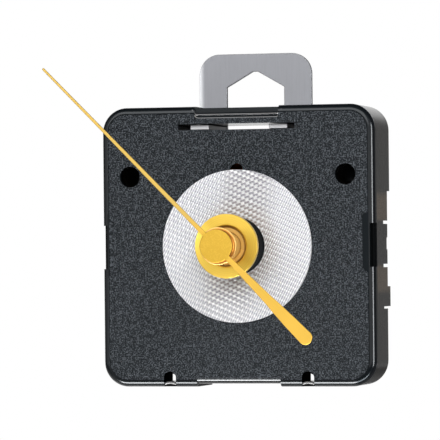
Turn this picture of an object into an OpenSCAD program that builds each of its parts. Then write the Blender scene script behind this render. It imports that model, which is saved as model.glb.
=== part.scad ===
// Reverse-running quartz clock movement with a threaded centre neck, a lone
// seconds hand, a pull-up hanger and an open bay for one AA cell.
// The origin is on the hands' axis, in the flat front face of the housing.
// +X is to the right as seen from the front, +Y runs into the housing, +Z is up.

/* [Housing] */
// Width and height of the square housing
case_size = 56; // [54:0.5:60]
// Radius of the housing's corners, seen from the front
corner_r = 5; // [4:0.5:7]
// Depth of the housing at its middle and lower level
case_depth = 12.5; // [12.2:0.1:15]
// How far the upper block stands out behind that level
upper_step = 2.2; // [1:0.1:4]
// How far the cross bar above the cell bay stands out behind that level
bar_step = 2.5; // [1:0.1:4]
// Height of that cross bar
bar_h = 4; // [2:0.5:5]
// Lower edge of the upper block, above the hands' axis
upper_z = 10.8; // [8:0.2:12]
// Thickness of the housing's outer walls
wall_t = 1.2; // [0.9:0.1:1.5]
// Thickness of the front panel
panel_t = 1.2; // [1:0.1:1.6]
// Depth of the line where the front cover meets the rear case
parting_y = 1.8; // [1.7:0.1:2.2]
// Width of the shadow groove along that line
parting_gap = 0.15; // [0.1:0.05:0.3]
// Width of the rounded rim, seen from the front
rim_w = 1.25; // [0.8:0.05:1.6]
// Depth of the rounded rim
rim_d = 1.1; // [0.8:0.05:1.4]
// Chamfer along the rear edges
rear_chamfer = 0.5; // [0.3:0.1:0.8]

/* [Front openings] */
// Half of the distance between the two fixing holes
fix_x = 22.15; // [21:0.05:22.8]
// Height of the fixing holes above the hands' axis
fix_z = 14.1; // [13.5:0.1:15]
// Radius of the fixing holes
fix_r = 2.1; // [1.6:0.1:2.3]
// Radius of the small hole above the disc
peep_r = 1.3; // [0.9:0.1:1.5]
// Height of the small hole above the hands' axis
peep_z = 15.2; // [14.5:0.1:16]
// Half length of the hanger's slot
slot_x = 12; // [11.5:0.1:13]
// Height of the middle of the slot above the hands' axis
slot_z = 23.9; // [23.6:0.1:24.2]
// Height of the slot's opening
slot_h = 1.2; // [1.1:0.05:1.5]
// Half height of the latch windows in the two sides
window_z = 4.35; // [3.5:0.05:5]
// How far the latch windows cut into the front face
window_x = 1.05; // [0.8:0.05:1.3]
// Height of the latch tongues between their two slits
tongue_h = 8.0; // [7:0.1:9]
// Width of the slits beside the latch tongues
slit_w = 0.65; // [0.5:0.05:0.9]
// Length of those slits from the rear edge
slit_l = 4.3; // [3:0.1:6]
// Half length of the finger notches in the top and bottom edges
notch_x = 8.6; // [7:0.1:10]
// Depth of the top notch
notch_top = 0.32; // [0.2:0.02:0.5]
// Depth of the bottom notch
notch_bottom = 0.6; // [0.3:0.05:0.7]
// Radius of the rounded edge in front of the bottom notch
notch_round = 1.1; // [0.6:0.1:1.3]
// Radius of the two peep notches in the bottom edge
dimple_r = 1.25; // [1:0.05:1.5]
// Distance of those notches from the middle
dimple_x = 14.2; // [13:0.1:16]

/* [Centre neck and nut] */
// Outer radius of the moulded collar round the neck
collar_r = 5.5; // [5.2:0.01:6.2]
// Height of the collar in front of the panel
collar_h = 3.7; // [3:0.1:4.5]
// Outer radius of the threaded neck, 4 mm for an M8 thread
neck_r = 4; // [3.8:0.05:4.2]
// Height of the neck's end in front of the panel
neck_h = 8.4; // [7.6:0.1:8.8]
// Radius of the flange that holds the neck in the panel
flange_r = 5; // [4.8:0.1:5.4]
// Outer radius of the dial nut
nut_r = 6.36; // [5.8:0.02:7]
// Thickness of the dial nut
nut_t = 1.2; // [0.8:0.1:1.6]
// Height of the dial nut's front face in front of the panel
nut_h = 8.94; // [8.7:0.02:9.6]
// Running clearance, on the radius, of every shaft and pipe
run = 0.05; // [0.02:0.01:0.08]
// Radius of the self-adhesive disc
disc_r = 15.25; // [14:0.05:16]
// Thickness of the disc's foam layer
foam_t = 0.5; // [0.3:0.05:0.8]
// Thickness of the disc's embossed liner
liner_t = 0.25; // [0.15:0.05:0.4]
// Gap between the disc and the collar
disc_gap = 0.25; // [0.1:0.05:0.5]

/* [Hand shafts] */
// Outer radius of the hour pipe
hour_pipe_r = 2.75; // [2.6:0.05:2.9]
// How far the minute pipe stands out of the hour pipe
minute_step = 1.5; // [0.5:0.1:2.5]
// Outer radius of the minute pipe
minute_pipe_r = 1.75; // [1.6:0.05:1.9]
// Gap between the minute pipe's end and the seconds hand's hub
hub_gap = 1.3; // [0.3:0.1:2]
// Radius of the seconds shaft
seconds_r = 0.55; // [0.5:0.05:0.6]

/* [Seconds hand] */
// Height of the hand's front face in front of the panel
hand_h = 16.9; // [15.6:0.1:18]
// Thickness of the hand's blade
blade_t = 0.3; // [0.2:0.05:0.5]
// Length of the needle from the axis
needle_l = 49.8; // [40:0.2:55]
// Width of the needle at its tip
needle_tip_w = 0.47; // [0.3:0.01:0.8]
// Width of the needle at the hub
needle_root_w = 0.95; // [0.8:0.05:1.6]
// Direction of the needle at rest, anticlockwise from +X
needle_angle = 134.7; // [0:0.1:359]
// Length of the tail from the axis
tail_l = 26.6; // [20:0.1:30]
// Radius of the tail's round end
tail_r = 1.4; // [1:0.01:1.8]
// Width of the tail at the hub
tail_root_w = 1.05; // [0.8:0.05:1.6]
// Radius of the hub's round cap
cap_r = 3.27; // [2.6:0.01:3.6]
// Radius of the lip at the back of the hub
lip_r = 3.7; // [3.1:0.05:4.2]
// Length of the hub, from the lip to the blade
hub_l = 1.7; // [1.4:0.1:2.4]
// Thickness of the lip
lip_t = 0.35; // [0.2:0.05:0.6]

/* [Hanger] */
// Half width of the hanger
hanger_x = 11.75; // [11.2:0.05:12.5]
// Height of the hanger's top above the hands' axis
hanger_top = 39.2; // [36:0.2:42]
// Half width of the hanger's window
eye_x = 6; // [5:0.1:6.2]
// Height of the window's shoulders above the hands' axis
eye_shoulder_z = 32.4; // [31.5:0.1:33]
// Radius of the hanger's upper corners
hanger_corner_r = 4.2; // [3:0.1:5]
// Thickness of the hanger's plate and tabs
hanger_t = 0.95; // [0.7:0.05:1]
// Gap between the upper block and the hanger's plate, kept by two pads
hanger_gap = 1.3; // [0.5:0.1:1.6]
// Width of each tab that passes through the slot
tab_w = 3.8; // [3:0.1:4.2]
// Inner edge of the tabs, from the middle
tab_x = 6.2; // [6.2:0.1:7]
// Depth of the tabs' ends behind the front face
tab_end_y = 2; // [1.4:0.1:4]

/* [Wheel train] */
// Centre distance from the hands' axis to the third and the fifth wheel
train_a = 8.1; // [8.1:0.05:8.4]
// Centre distance from the hands' axis to the motion wheel, and on to the setting shaft
motion_a = 6; // [6:0.05:6.3]
// Centre distance from the fifth wheel to the rotor
rotor_a = 5.6; // [5.5:0.05:5.8]
// Thickness of the wheels' rims
wheel_t = 0.7; // [0.5:0.05:0.75]
// Least gap along the axis between wheels of the stack
play = 0.3; // [0.2:0.05:0.32]
// Radius of the fixed wheel pins
pin_r = 0.3; // [0.25:0.05:0.35]
// Play taken off each flank of every tooth
lash = 0.03; // [0.02:0.005:0.04]
// Thickness of the middle plate
plate_t = 0.8; // [0.6:0.1:0.9]
// Gap between the third wheel's teeth and the wall above the cell bay
wheel_gap = 0.463; // [0.3:0.001:0.8]
// Direction from the hands' axis to the fifth wheel
fifth_angle = 128; // [126:1:130]
// Direction from the fifth wheel to the rotor
rotor_angle = 40; // [36:1:42]
// Direction from the hands' axis to the motion wheel
motion_angle = -10; // [-14:1:-6]
// Direction from the motion wheel to the setting shaft
setting_angle = 20; // [16:1:24]

/* [Motor and electronics] */
// Radius of the rotor's magnet
magnet_r = 2; // [1.6:0.1:2]
// Length of the rotor's magnet
magnet_l = 2.4; // [1.8:0.1:2.4]
// Gap between the magnet and the stator
air_gap = 0.4; // [0.3:0.05:0.6]
// Thickness of the stator and of the coil's core
iron_t = 0.8; // [0.6:0.1:0.8]
// Height of the coil's axis above the hands' axis
coil_z = 17.6; // [17.4:0.1:17.8]
// Half length of the bobbin
bobbin_x = 10; // [9:0.2:10.4]
// Radius of the bobbin's flanges
flange_coil_r = 3.7; // [3.4:0.1:3.7]
// Depth of the winding below the flanges' edge
winding_inset = 0.4; // [0.2:0.1:0.8]
// Half span of the stator's two legs
stator_x = 13.2; // [13:0.1:13.2]
// Thickness of the circuit board
board_t = 0.8; // [0.6:0.1:1]
// Radius of the crystal's can
crystal_r = 1; // [0.75:0.05:1]
// Length of the crystal's can
crystal_l = 6; // [5:0.2:7]

/* [Setting knob] */
// Radius of the setting knob
knob_r = 4.8; // [4:0.1:4.8]
// Thickness of the setting knob
knob_t = 2; // [1.4:0.1:2.4]
// Radius of the setting shaft
setting_r = 1; // [0.9:0.05:1.1]

/* [Cell bay] */
// Diameter of the cell that the bay takes
cell_d = 14.5; // [14.5:0.1:14.6]
// Length of the cell that the bay takes
cell_l = 50.5; // [50.3:0.1:50.5]
// Clearance above and below the cell
cell_gap = 0.1; // [0.05:0.05:0.15]
// Radius of the bay's lower corners
bay_corner_r = 2.2; // [1.8:0.1:2.2]
// Thickness of the contact plates
contact_t = 0.4; // [0.3:0.05:0.4]
// Distance of the contact plates' edges from the bay's floor and roof
contact_rim = 2; // [1.5:0.1:3]
// Height of the spring leaf, from one end of its bow to the other
leaf_chord = 9; // [8:0.1:10]
// Width of the spring leaf
leaf_w = 6; // [4:0.1:7]
// How far the spring leaf bows out of the negative contact
leaf_bulge = 1; // [0.6:0.1:1]

/* [Hidden] */
$fn = 64;
eps = 0.01;

// Housing levels
half = case_size / 2;
upper_depth = case_depth + upper_step;
bar_depth = case_depth + bar_step;
rear_in = case_depth - wall_t;
upper_in = upper_depth - wall_t;
inner_half = half - wall_t;
inner_r = corner_r - wall_t;
bottom_wall = 0.9;
bay_low = -half + bottom_wall;
bay_high = bay_low + cell_d + 2 * cell_gap;
bay_wall = 1.2;
bay_mid = (bay_low + bay_high) / 2;
cell_mid_y = parting_y + cell_d / 2;
contact_low_y = parting_y + 1.2;
strip_t = 0.3;
cavity_low = bay_high + bay_wall;
bar_low = bay_high + 0.1;
slot_wall = 0.8;
boss_wall = 1.1;
// Profiles of the edges as [inset, depth from the face]
front_edge = [[rim_w, 0], [rim_w * 0.55, rim_d * 0.1], [rim_w * 0.2, rim_d * 0.42], [0, rim_d]];
rear_edge = [[rear_chamfer, 0], [0, rear_chamfer]];
square_edge = [[0, 0]];

// Teeth of each pair, and their modules from the centre distances
seconds_teeth = 60;
seconds_leaves = 8;
third_teeth = 60;
third_leaves = 8;
centre_teeth = 64;
fifth_teeth = 48;
fifth_leaves = 12;
rotor_leaves = 8;
minute_leaves = 12;
motion_teeth = 36;
motion_leaves = 10;
hour_teeth = 40;
setting_leaves = 12;
function pair_module(a, n1, n2) = 2 * a / (n1 + n2);
m_fifth_seconds = pair_module(train_a, fifth_leaves, seconds_teeth);
m_seconds_third = pair_module(train_a, seconds_leaves, third_teeth);
m_third_centre = pair_module(train_a, third_leaves, centre_teeth);
m_rotor_fifth = pair_module(rotor_a, rotor_leaves, fifth_teeth);
m_minute_motion = pair_module(motion_a, minute_leaves, motion_teeth);
m_motion_hour = pair_module(motion_a, motion_leaves, hour_teeth);
addendum = 0.7;
dedendum = 0.95;
pressure = 25;

// Where the axes are. The third wheel hangs just above the cell bay
third_reach = m_seconds_third * (third_teeth / 2 + addendum);
third_angle = 180 - asin((cavity_low + wheel_gap + third_reach) / train_a);
third_at = train_a * [cos(third_angle), sin(third_angle)];
fifth_at = train_a * [cos(fifth_angle), sin(fifth_angle)];
rotor_at = fifth_at + rotor_a * [cos(rotor_angle), sin(rotor_angle)];
motion_at = motion_a * [cos(motion_angle), sin(motion_angle)];
setting_at = motion_at + motion_a * [cos(setting_angle), sin(setting_angle)];

// The stack of wheels, from the front panel to the rear, as depths
hour_y = panel_t + play;
motion_y = hour_y + wheel_t + play;
plate_y = motion_y + wheel_t + play;
plate_end = plate_y + plate_t;
centre_y = plate_end + play;
third_y = centre_y + wheel_t + 2 * play + 0.1;
second_y = third_y + wheel_t + 2 * play;
fifth_y = second_y + wheel_t + 2 * play;
fifth_end = fifth_y + wheel_t;
stator_y = centre_y + wheel_t + play;
core_y = stator_y - iron_t;
coil_y = core_y + iron_t / 2;
magnet_y = stator_y + iron_t / 2 - magnet_l / 2;
hub_r = 0.55;
boss_r = 0.9;
end_play = 0.15;
pivot_depth = 0.7;
minute_root_r = 1.2;

// Motor and board
leg_w = 2.2;
stator_low = rotor_at[1] - 1.4;
stator_high = coil_z + 1.5;
ring_r = magnet_r + air_gap + 1.3;
core_w = 3;
bobbin_wall = 0.5;
board_low = cavity_low + 0.3;
board_high = fix_z - fix_r - boss_wall - 0.6;
board_left = 17.2;
board_right = inner_half - contact_t;
board_end = rear_in - 1.1;
board_y = board_end - board_t;
post_r = 1.5;
post_z = cavity_low + 2.2;
post_at = [[-16.6, 9], [15.3, 10.8], [-16.2, post_z], [13.4, post_z]];

// Hanger places
hanger_y = upper_depth + hanger_gap;
hanger_low = slot_z - hanger_t / 2;

// Places of the hand and of the pipes' ends
hub_y = -hand_h + blade_t;
minute_pipe_h = -hub_y - hub_l - hub_gap;
hour_pipe_h = minute_pipe_h - minute_step;

module along_y(y0, y1) {
    translate([0, y1, 0]) rotate([90, 0, 0]) linear_extrude(y1 - y0) children();
}

module rod(at, r, y0, y1) {
    translate([at[0], y1, at[1]]) rotate([90, 0, 0]) cylinder(r = r, h = y1 - y0);
}

module block(low, high) {
    translate(low) cube(high - low);
}

// A rounded square slab with shaped front and rear edges
module slab(h, r, y0, y1, front, rear) {
    side = [
        for (e = front) [h - e[0], y0 + e[1]],
        for (i = [len(rear) - 1 : -1 : 0]) [h - rear[i][0], y1 - rear[i][1]]
    ];
    outline = concat(side, [for (i = [len(side) - 1 : -1 : 0]) [-side[i][0], side[i][1]]]);
    core = h - r;
    turned = concat([[0, y0]], [for (p = side) [p[0] - core, p[1]]], [[0, y1]]);
    linear_extrude(2 * core, center = true) polygon(outline);
    rotate([0, 90, 0]) linear_extrude(2 * core, center = true) polygon(outline);
    for (sx = [-1, 1], sz = [-1, 1])
        translate([sx * core, 0, sz * core]) rotate([-90, 0, 0]) rotate_extrude() polygon(turned);
}

// Outline of one gear: involute flanks, thinned by the lash, with short tips
function involute(a) = tan(a) * 180 / PI - a;
function half_angle(n, m, q) =
    let (r = n * m / 2, rb = r * cos(pressure), low = max(q, rb))
    90 / n - lash / r * 180 / PI + involute(pressure) - involute(acos(rb / low));
function flank_radii(n, m) =
    let (r = n * m / 2, rb = r * cos(pressure), top = r + addendum * m, root = r - dedendum * m)
    root < rb ? [root, rb, (rb + top) / 2, top] : [root, top];
function gear_points(n, m, phase) = [
    for (k = [0 : n - 1], side = [-1, 1])
        let (qs = flank_radii(n, m), last = len(qs) - 1, at = phase + 360 * k / n)
        for (i = [0 : last])
            let (q = side < 0 ? qs[i] : qs[last - i], a = at + side * half_angle(n, m, q))
            [q * cos(a), q * sin(a)]
];

module gear(at, n, m, phase, y0, y1) {
    translate([at[0], 0, at[1]]) along_y(y0, y1) polygon(gear_points(n, m, phase));
}

// Tooth phase of a gear of n2 teeth that meshes, in direction th, with one of n1 teeth at phase p1
function mesh(th, n1, p1, n2) = th + 180 + 360 / n2 * ((th - p1) * n1 / 360 - 0.5);
third_phase = mesh(third_angle, seconds_leaves, 0, third_teeth);
centre_phase = mesh(third_angle + 180, third_leaves, 0, centre_teeth);
fifth_phase = mesh(fifth_angle, seconds_teeth, 0, fifth_leaves);
rotor_phase = mesh(rotor_angle, fifth_teeth, 0, rotor_leaves);
motion_phase = mesh(motion_angle, minute_leaves, 0, motion_teeth);
hour_phase = mesh(motion_angle + 180, motion_leaves, 0, hour_teeth);
setting_phase = mesh(setting_angle, motion_teeth, motion_phase, setting_leaves);

// Everything that cuts both shells of the housing alike
module notches() {
    block([-notch_x, -1, half - notch_top], [notch_x, bar_depth + 1, half + 1]);
    block([-notch_x, -1, -half - 1], [notch_x, bar_depth + 1, -half + notch_bottom]);
}

module front_cover() {
    step_top = 1.26;
    step_low = 0.82;
    face_cut = 0.3;
    round_z = -half + notch_bottom + notch_round;
    color([0.23, 0.24, 0.26]) difference() {
        union() {
            slab(half, corner_r, 0, parting_y, front_edge, square_edge);
            rod([0, 0], collar_r, -collar_h, panel_t);
            rod(setting_at, setting_r + 0.5, panel_t - eps, panel_t + play);
        }
        difference() {
            slab(inner_half, inner_r, panel_t, parting_y + 1, square_edge, square_edge);
            rod(setting_at, setting_r + 0.5, panel_t - 1, panel_t + play);
            block([-slot_x - slot_wall, 0, slot_z - slot_h / 2 - slot_wall],
                [slot_x + slot_wall, parting_y, slot_z + slot_h / 2 + slot_wall]);
        }
        rod([0, 0], neck_r, -collar_h - 1, panel_t + 1);
        rod([0, 0], flange_r, panel_t - 0.8, panel_t + 1);
        for (s = [-1, 1]) {
            rod([s * fix_x, fix_z], fix_r, -1, parting_y + 1);
            block([s > 0 ? half - window_x : -half - 1, -1, -window_z],
                [s > 0 ? half + 1 : -half + window_x, parting_y + 1, window_z]);
            rod([s * dimple_x, -half + 1.8], dimple_r, -1, parting_y + 1);
            block([s * dimple_x - dimple_r, -1, -half - 1],
                [s * dimple_x + dimple_r, parting_y + 1, -half + 1.8]);
        }
        rod([0, peep_z], peep_r, -1, parting_y + 1);
        block([-slot_x, -1, slot_z - slot_h / 2], [slot_x, parting_y + 1, slot_z + slot_h / 2]);
        rod(setting_at, setting_r * 0.6 + run, panel_t - pivot_depth, panel_t + 2);
        notches();
        // The rounded edge in front of the bottom notch
        difference() {
            block([-notch_x, -1, -half], [notch_x, notch_round, round_z]);
            translate([-notch_x - 1, notch_round, round_z])
                rotate([0, 90, 0]) cylinder(r = notch_round, h = 2 * notch_x + 2);
        }
        // The sunk step along the top notch, and the shallow rests beside the windows
        block([-notch_x, -1, half - notch_top - step_top - step_low], [notch_x, face_cut, half]);
        block([-notch_x, -1, half - notch_top - step_top], [notch_x, 2 * face_cut, half]);
        for (s = [-1, 1])
            along_y(-1, face_cut / 2) polygon([
                [s * (half - window_x - 1.45), 6], [s * (half - window_x - 1.45), -4.6],
                [s * (half - window_x), -5.8], [s * (half - window_x), 6.6]
            ]);
    }
}

module cell_bay() {
    r = bay_corner_r;
    along_y(parting_y - 1, bar_depth + 1) {
        translate([-inner_half, bay_low + r]) square([2 * inner_half, bay_high - bay_low - r]);
        translate([-inner_half + r, bay_low]) square([2 * (inner_half - r), r + eps]);
        for (s = [-1, 1])
            translate([s * (inner_half - r), bay_low + r]) circle(r);
    }
}

module rear_case() {
    boss_top = upper_in + eps;
    color([0.22, 0.22, 0.22]) difference() {
        union() {
            difference() {
                union() {
                    slab(half, corner_r, parting_y, case_depth, square_edge, rear_edge);
                    intersection() {
                        slab(half, corner_r, parting_y, upper_depth, square_edge, rear_edge);
                        block([-half, 0, upper_z], [half, upper_depth, half]);
                    }
                    intersection() {
                        slab(half, corner_r, parting_y, bar_depth, square_edge, rear_edge);
                        block([-half, 0, bar_low], [half, bar_depth, bar_low + bar_h]);
                    }
                    for (s = [-1, 1])
                        block([s * (hanger_x + eye_x) / 2 - 1.5, upper_depth - eps, slot_z + slot_h + 0.4],
                            [s * (hanger_x + eye_x) / 2 + 1.5, hanger_y, half - 0.6]);
                }
                intersection() {
                    slab(inner_half, inner_r, parting_y - 1, rear_in, square_edge, square_edge);
                    block([-half, 0, cavity_low], [half, rear_in, half]);
                }
                intersection() {
                    slab(inner_half, inner_r, parting_y - 1, upper_in, square_edge, square_edge);
                    block([-half, 0, upper_z + wall_t], [half, upper_in, half]);
                }
                cell_bay();
            }
            // Duct for the hanger's tabs, and the two blind bosses for fixing screws
            block([-slot_x - slot_wall, parting_y, slot_z - slot_h / 2 - slot_wall],
                [slot_x + slot_wall, boss_top, slot_z + slot_h / 2 + slot_wall]);
            for (s = [-1, 1]) {
                rod([s * fix_x, fix_z], fix_r + boss_wall, parting_y, boss_top);
                rod([s * (stator_x - leg_w / 2), coil_z], 1, stator_y + iron_t, boss_top);
            }
            // Posts of the middle plate, bearings of the wheels and rests of the board
            for (p = post_at)
                rod(p, post_r, plate_end, (p[1] > upper_z ? upper_in : rear_in) + eps);
            rod([0, 0], 2, second_y + wheel_t + 1.1, rear_in + eps);
            rod(third_at, boss_r, third_y + wheel_t + 0.2 + end_play, rear_in + eps);
            rod(fifth_at, boss_r, fifth_end + 0.3 + end_play, rear_in + eps);
            rod(rotor_at, boss_r, fifth_end + 0.3 + end_play, rear_in + eps);
            rod(setting_at, setting_r + 0.9, rear_in - 1.5, rear_in + eps);
            for (z = [board_low + 1.5, board_high - 1.5])
                rod([(board_left + board_right) / 2, z], 1, board_end, rear_in + eps);
        }
        for (s = [-1, 1]) {
            rod([s * fix_x, fix_z], fix_r, parting_y - 1, upper_in);
            // Slits that free the latch tongues, and the notch in each tongue's edge
            for (e = [0, 1])
                block([s > 0 ? inner_half - 0.4 : -half - 1, case_depth - slit_l,
                        e * (tongue_h + slit_w) - tongue_h / 2 + 0.2 - slit_w],
                    [s > 0 ? half + 1 : -inner_half + 0.4, case_depth + 1,
                        e * (tongue_h + slit_w) - tongue_h / 2 + 0.2]);
            block([s > 0 ? half - 0.6 : -half - 1, case_depth - 1.2, -0.9],
                [s > 0 ? half + 1 : -half + 0.6, case_depth + 1, 1.5]);
            // The inset face of each tongue behind its window
            block([s > 0 ? half - 0.4 : -half - 1, parting_y - 1, -window_z],
                [s > 0 ? half + 1 : -half + 0.4, parting_y + 0.4, window_z]);
            // The short slit under the cross bar
            block([s > 0 ? inner_half - 0.5 : -half - 1, case_depth - 4, bar_low - 0.45],
                [s > 0 ? half + 1 : -inner_half + 0.5, bar_depth + 1, bar_low]);
            block([s * dimple_x - dimple_r, parting_y - 1, -half + 1.05],
                [s * dimple_x + dimple_r, parting_y + 3, -half + 3.2]);
        }
        block([-slot_x, 0, slot_z - slot_h / 2], [slot_x, hanger_y + 1, slot_z + slot_h / 2]);
        notches();
        rod([0, 0], seconds_r + run, second_y, rear_in - 0.2);
        rod(third_at, pin_r, third_y, rear_in - 0.2);
        rod(fifth_at, pin_r, fifth_y, rear_in - 0.2);
        rod(rotor_at, pin_r + run, fifth_y, rear_in - 0.2);
        rod(setting_at, setting_r + run, third_y, case_depth + 1);
        // Where the contacts' legs pass from the bay into the cavity
        block([-inner_half, board_y - 1, bay_high - 0.1],
            [-inner_half + contact_t, board_end, cavity_low + 0.1]);
        block([inner_half - contact_t, board_y - 1, bay_high - 0.1],
            [inner_half, board_end, cavity_low + 0.1]);
        // The shadow groove along the parting line
        difference() {
            slab(half + 1, corner_r, parting_y - 1, parting_y + parting_gap, square_edge, square_edge);
            slab(half - 0.3, corner_r - 0.3, parting_y - 2, parting_y + 2, square_edge, square_edge);
        }
    }
}

module threaded_neck() {
    color([0.86, 0.7, 0.35]) difference() {
        union() {
            rod([0, 0], neck_r, -neck_h, panel_t);
            rod([0, 0], flange_r, panel_t - 0.8, panel_t);
        }
        rod([0, 0], hour_pipe_r + run, -neck_h - 1, panel_t + 1);
    }
}

module dial_nut() {
    edge = 0.2;
    color([0.95, 0.8, 0.29]) difference() {
        rotate([-90, 0, 0]) rotate_extrude() polygon([
            [0, -nut_h], [nut_r - edge, -nut_h], [nut_r, -nut_h + edge],
            [nut_r, -nut_h + nut_t - edge], [nut_r - edge, -nut_h + nut_t], [0, -nut_h + nut_t]
        ]);
        rod([0, 0], neck_r + run, -nut_h - 1, -nut_h + nut_t + 1);
    }
}

module disc_ring(y0, y1) {
    difference() {
        rod([0, 0], disc_r, y0, y1);
        rod([0, 0], collar_r + disc_gap, y0 - 1, y1 + 1);
    }
}

module adhesive_pad() {
    color([0.9, 0.9, 0.9]) disc_ring(-foam_t, 0);
}

module pad_liner() {
    color([0.86, 0.86, 0.9]) disc_ring(-foam_t - liner_t, -foam_t);
}

// A flat plate with a house-shaped eye, open below, and two tabs bent forward through the slot
module hanger() {
    roof = eye_x * tan(30);
    nose = 1;
    color([0.67, 0.67, 0.68]) {
        along_y(hanger_y, hanger_y + hanger_t) difference() {
            union() {
                translate([-hanger_x, hanger_low])
                    square([2 * hanger_x, hanger_top - hanger_corner_r - hanger_low]);
                translate([-hanger_x + hanger_corner_r, hanger_low])
                    square([2 * (hanger_x - hanger_corner_r), hanger_top - hanger_low]);
                for (s = [-1, 1])
                    translate([s * (hanger_x - hanger_corner_r), hanger_top - hanger_corner_r])
                        circle(hanger_corner_r);
            }
            polygon([
                [-eye_x, hanger_low - 1], [eye_x, hanger_low - 1], [eye_x, eye_shoulder_z],
                [nose * sin(30), eye_shoulder_z + roof - nose * tan(30) * sin(30)],
                [-nose * sin(30), eye_shoulder_z + roof - nose * tan(30) * sin(30)],
                [-eye_x, eye_shoulder_z]
            ]);
        }
        for (s = [-1, 1])
            block([s > 0 ? tab_x : -tab_x - tab_w, tab_end_y, hanger_low],
                [s > 0 ? tab_x + tab_w : -tab_x, hanger_y + eps, hanger_low + hanger_t]);
    }
}

module middle_plate() {
    left = post_at[0][0] - post_r - 0.4;
    right = post_at[1][0] + post_r + 0.4;
    low = cavity_low + 0.3;
    high = post_at[1][1] + post_r + 0.3;
    color([0.85, 0.85, 0.8]) difference() {
        block([left, plate_y, low], [right, plate_end, high]);
        rod([0, 0], minute_root_r + run, plate_y - 1, plate_end + 1);
        for (p = [third_at, fifth_at, motion_at])
            rod(p, pin_r, plate_y - 1, plate_end + 1);
        rod(rotor_at, pin_r + run, plate_y - 1, plate_end + 1);
        rod(setting_at, setting_r + run, plate_y - 1, plate_end + 1);
    }
}

module third_pin() {
    color([0.75, 0.75, 0.78]) rod(third_at, pin_r, plate_y, rear_in - 0.2);
}

module fifth_pin() {
    color([0.75, 0.75, 0.78]) rod(fifth_at, pin_r, plate_y, rear_in - 0.2);
}

module motion_pin() {
    color([0.75, 0.75, 0.78]) rod(motion_at, pin_r, panel_t + end_play, plate_end);
}

module along_x(x0, x1) {
    translate([x0, coil_y, coil_z]) rotate([0, 90, 0]) linear_extrude(x1 - x0) children();
}

module coil_bobbin() {
    flange_t = 0.8;
    tube_r = core_w / 2 + bobbin_wall;
    color([0.9, 0.9, 0.85]) difference() {
        union() {
            along_x(-bobbin_x, -bobbin_x + flange_t) circle(flange_coil_r);
            along_x(bobbin_x - flange_t, bobbin_x) circle(flange_coil_r);
            along_x(-bobbin_x, bobbin_x) circle(tube_r);
        }
        along_x(-bobbin_x - 1, bobbin_x + 1) square([core_w, iron_t], center = true);
    }
}

module coil_winding() {
    flange_t = 0.8;
    tube_r = core_w / 2 + bobbin_wall;
    color([0.72, 0.35, 0.18]) along_x(-bobbin_x + flange_t, bobbin_x - flange_t) difference() {
        circle(flange_coil_r - winding_inset);
        circle(tube_r);
    }
}

module coil_core() {
    color([0.6, 0.6, 0.62])
        block([-stator_x, core_y, coil_z - core_w / 2], [stator_x, core_y + iron_t, coil_z + core_w / 2]);
}

module stator() {
    color([0.6, 0.6, 0.62]) difference() {
        union() {
            for (s = [-1, 1])
                block([s > 0 ? stator_x - leg_w : -stator_x, stator_y, stator_low],
                    [s > 0 ? stator_x : -stator_x + leg_w, stator_y + iron_t, stator_high]);
            block([-stator_x, stator_y, stator_low], [stator_x, stator_y + iron_t, stator_low + 2.8]);
            rod(rotor_at, ring_r, stator_y, stator_y + iron_t);
        }
        rod(rotor_at, magnet_r + air_gap, stator_y - 1, stator_y + iron_t + 1);
    }
}

module circuit_board() {
    color([0.1, 0.4, 0.2])
        block([board_left, board_y, board_low], [board_right, board_end, board_high]);
}

module chip_cover() {
    chip_r = 2.6;
    chip_h = 1.1;
    ball_r = (chip_r * chip_r + chip_h * chip_h) / (2 * chip_h);
    color([0.05, 0.05, 0.05]) intersection() {
        translate([(board_left + board_right) / 2, board_y - chip_h + ball_r, board_low + 5])
            sphere(r = ball_r);
        rod([(board_left + board_right) / 2, board_low + 5], chip_r + 0.5, board_y - chip_h - 1, board_y);
    }
}

module quartz_crystal() {
    color([0.8, 0.8, 0.82]) translate([(board_left + board_right) / 2, board_y - crystal_r, board_high - 1])
        mirror([0, 0, 1]) cylinder(r = crystal_r, h = crystal_l);
}

// The plate that a contact holds against the bay's end wall, reaching from x0 to x1
module contact_plate(x0, x1) {
    block([x0, contact_low_y, bay_low + contact_rim], [x1, rear_in, bay_high - contact_rim]);
    block([x0, board_y - 0.8, bay_high - contact_rim - eps], [x1, board_end, cavity_low + strip_t]);
}

module positive_contact() {
    nub_r = 2.5;
    nub_l = 0.3;
    x0 = inner_half - contact_t;
    color([0.8, 0.8, 0.8]) {
        contact_plate(x0, inner_half);
        block([x0, board_y - 0.8, cavity_low], [inner_half, board_end, board_low + 4]);
        translate([x0 - nub_l, cell_mid_y, bay_mid]) rotate([0, 90, 0])
            cylinder(r = nub_r, h = nub_l + eps);
    }
}

module negative_contact() {
    x0 = -inner_half;
    color([0.8, 0.8, 0.8]) {
        contact_plate(x0, x0 + contact_t);
        block([x0, board_y, cavity_low], [board_left + 2, board_end, cavity_low + strip_t]);
    }
}

// A bowed leaf that presses on the cell's flat end
module cell_spring() {
    leaf_t = 0.3;
    bow_r = (leaf_chord * leaf_chord / 4 + leaf_bulge * leaf_bulge) / (2 * leaf_bulge);
    x0 = -inner_half + contact_t;
    color([0.8, 0.75, 0.6]) intersection() {
        translate([x0 + leaf_bulge - bow_r, 0, bay_mid])
            along_y(contact_low_y + 1, contact_low_y + 1 + leaf_w) difference() {
                circle(bow_r);
                circle(bow_r - leaf_t);
            }
        block([x0, parting_y, bay_mid - leaf_chord / 2],
            [x0 + leaf_bulge + 1, rear_in, bay_mid + leaf_chord / 2]);
    }
}

module rotor_magnet() {
    color([0.3, 0.3, 0.32]) difference() {
        rod(rotor_at, magnet_r, magnet_y, magnet_y + magnet_l);
        rod(rotor_at, pin_r, magnet_y - 1, magnet_y + magnet_l + 1);
    }
}

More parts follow.
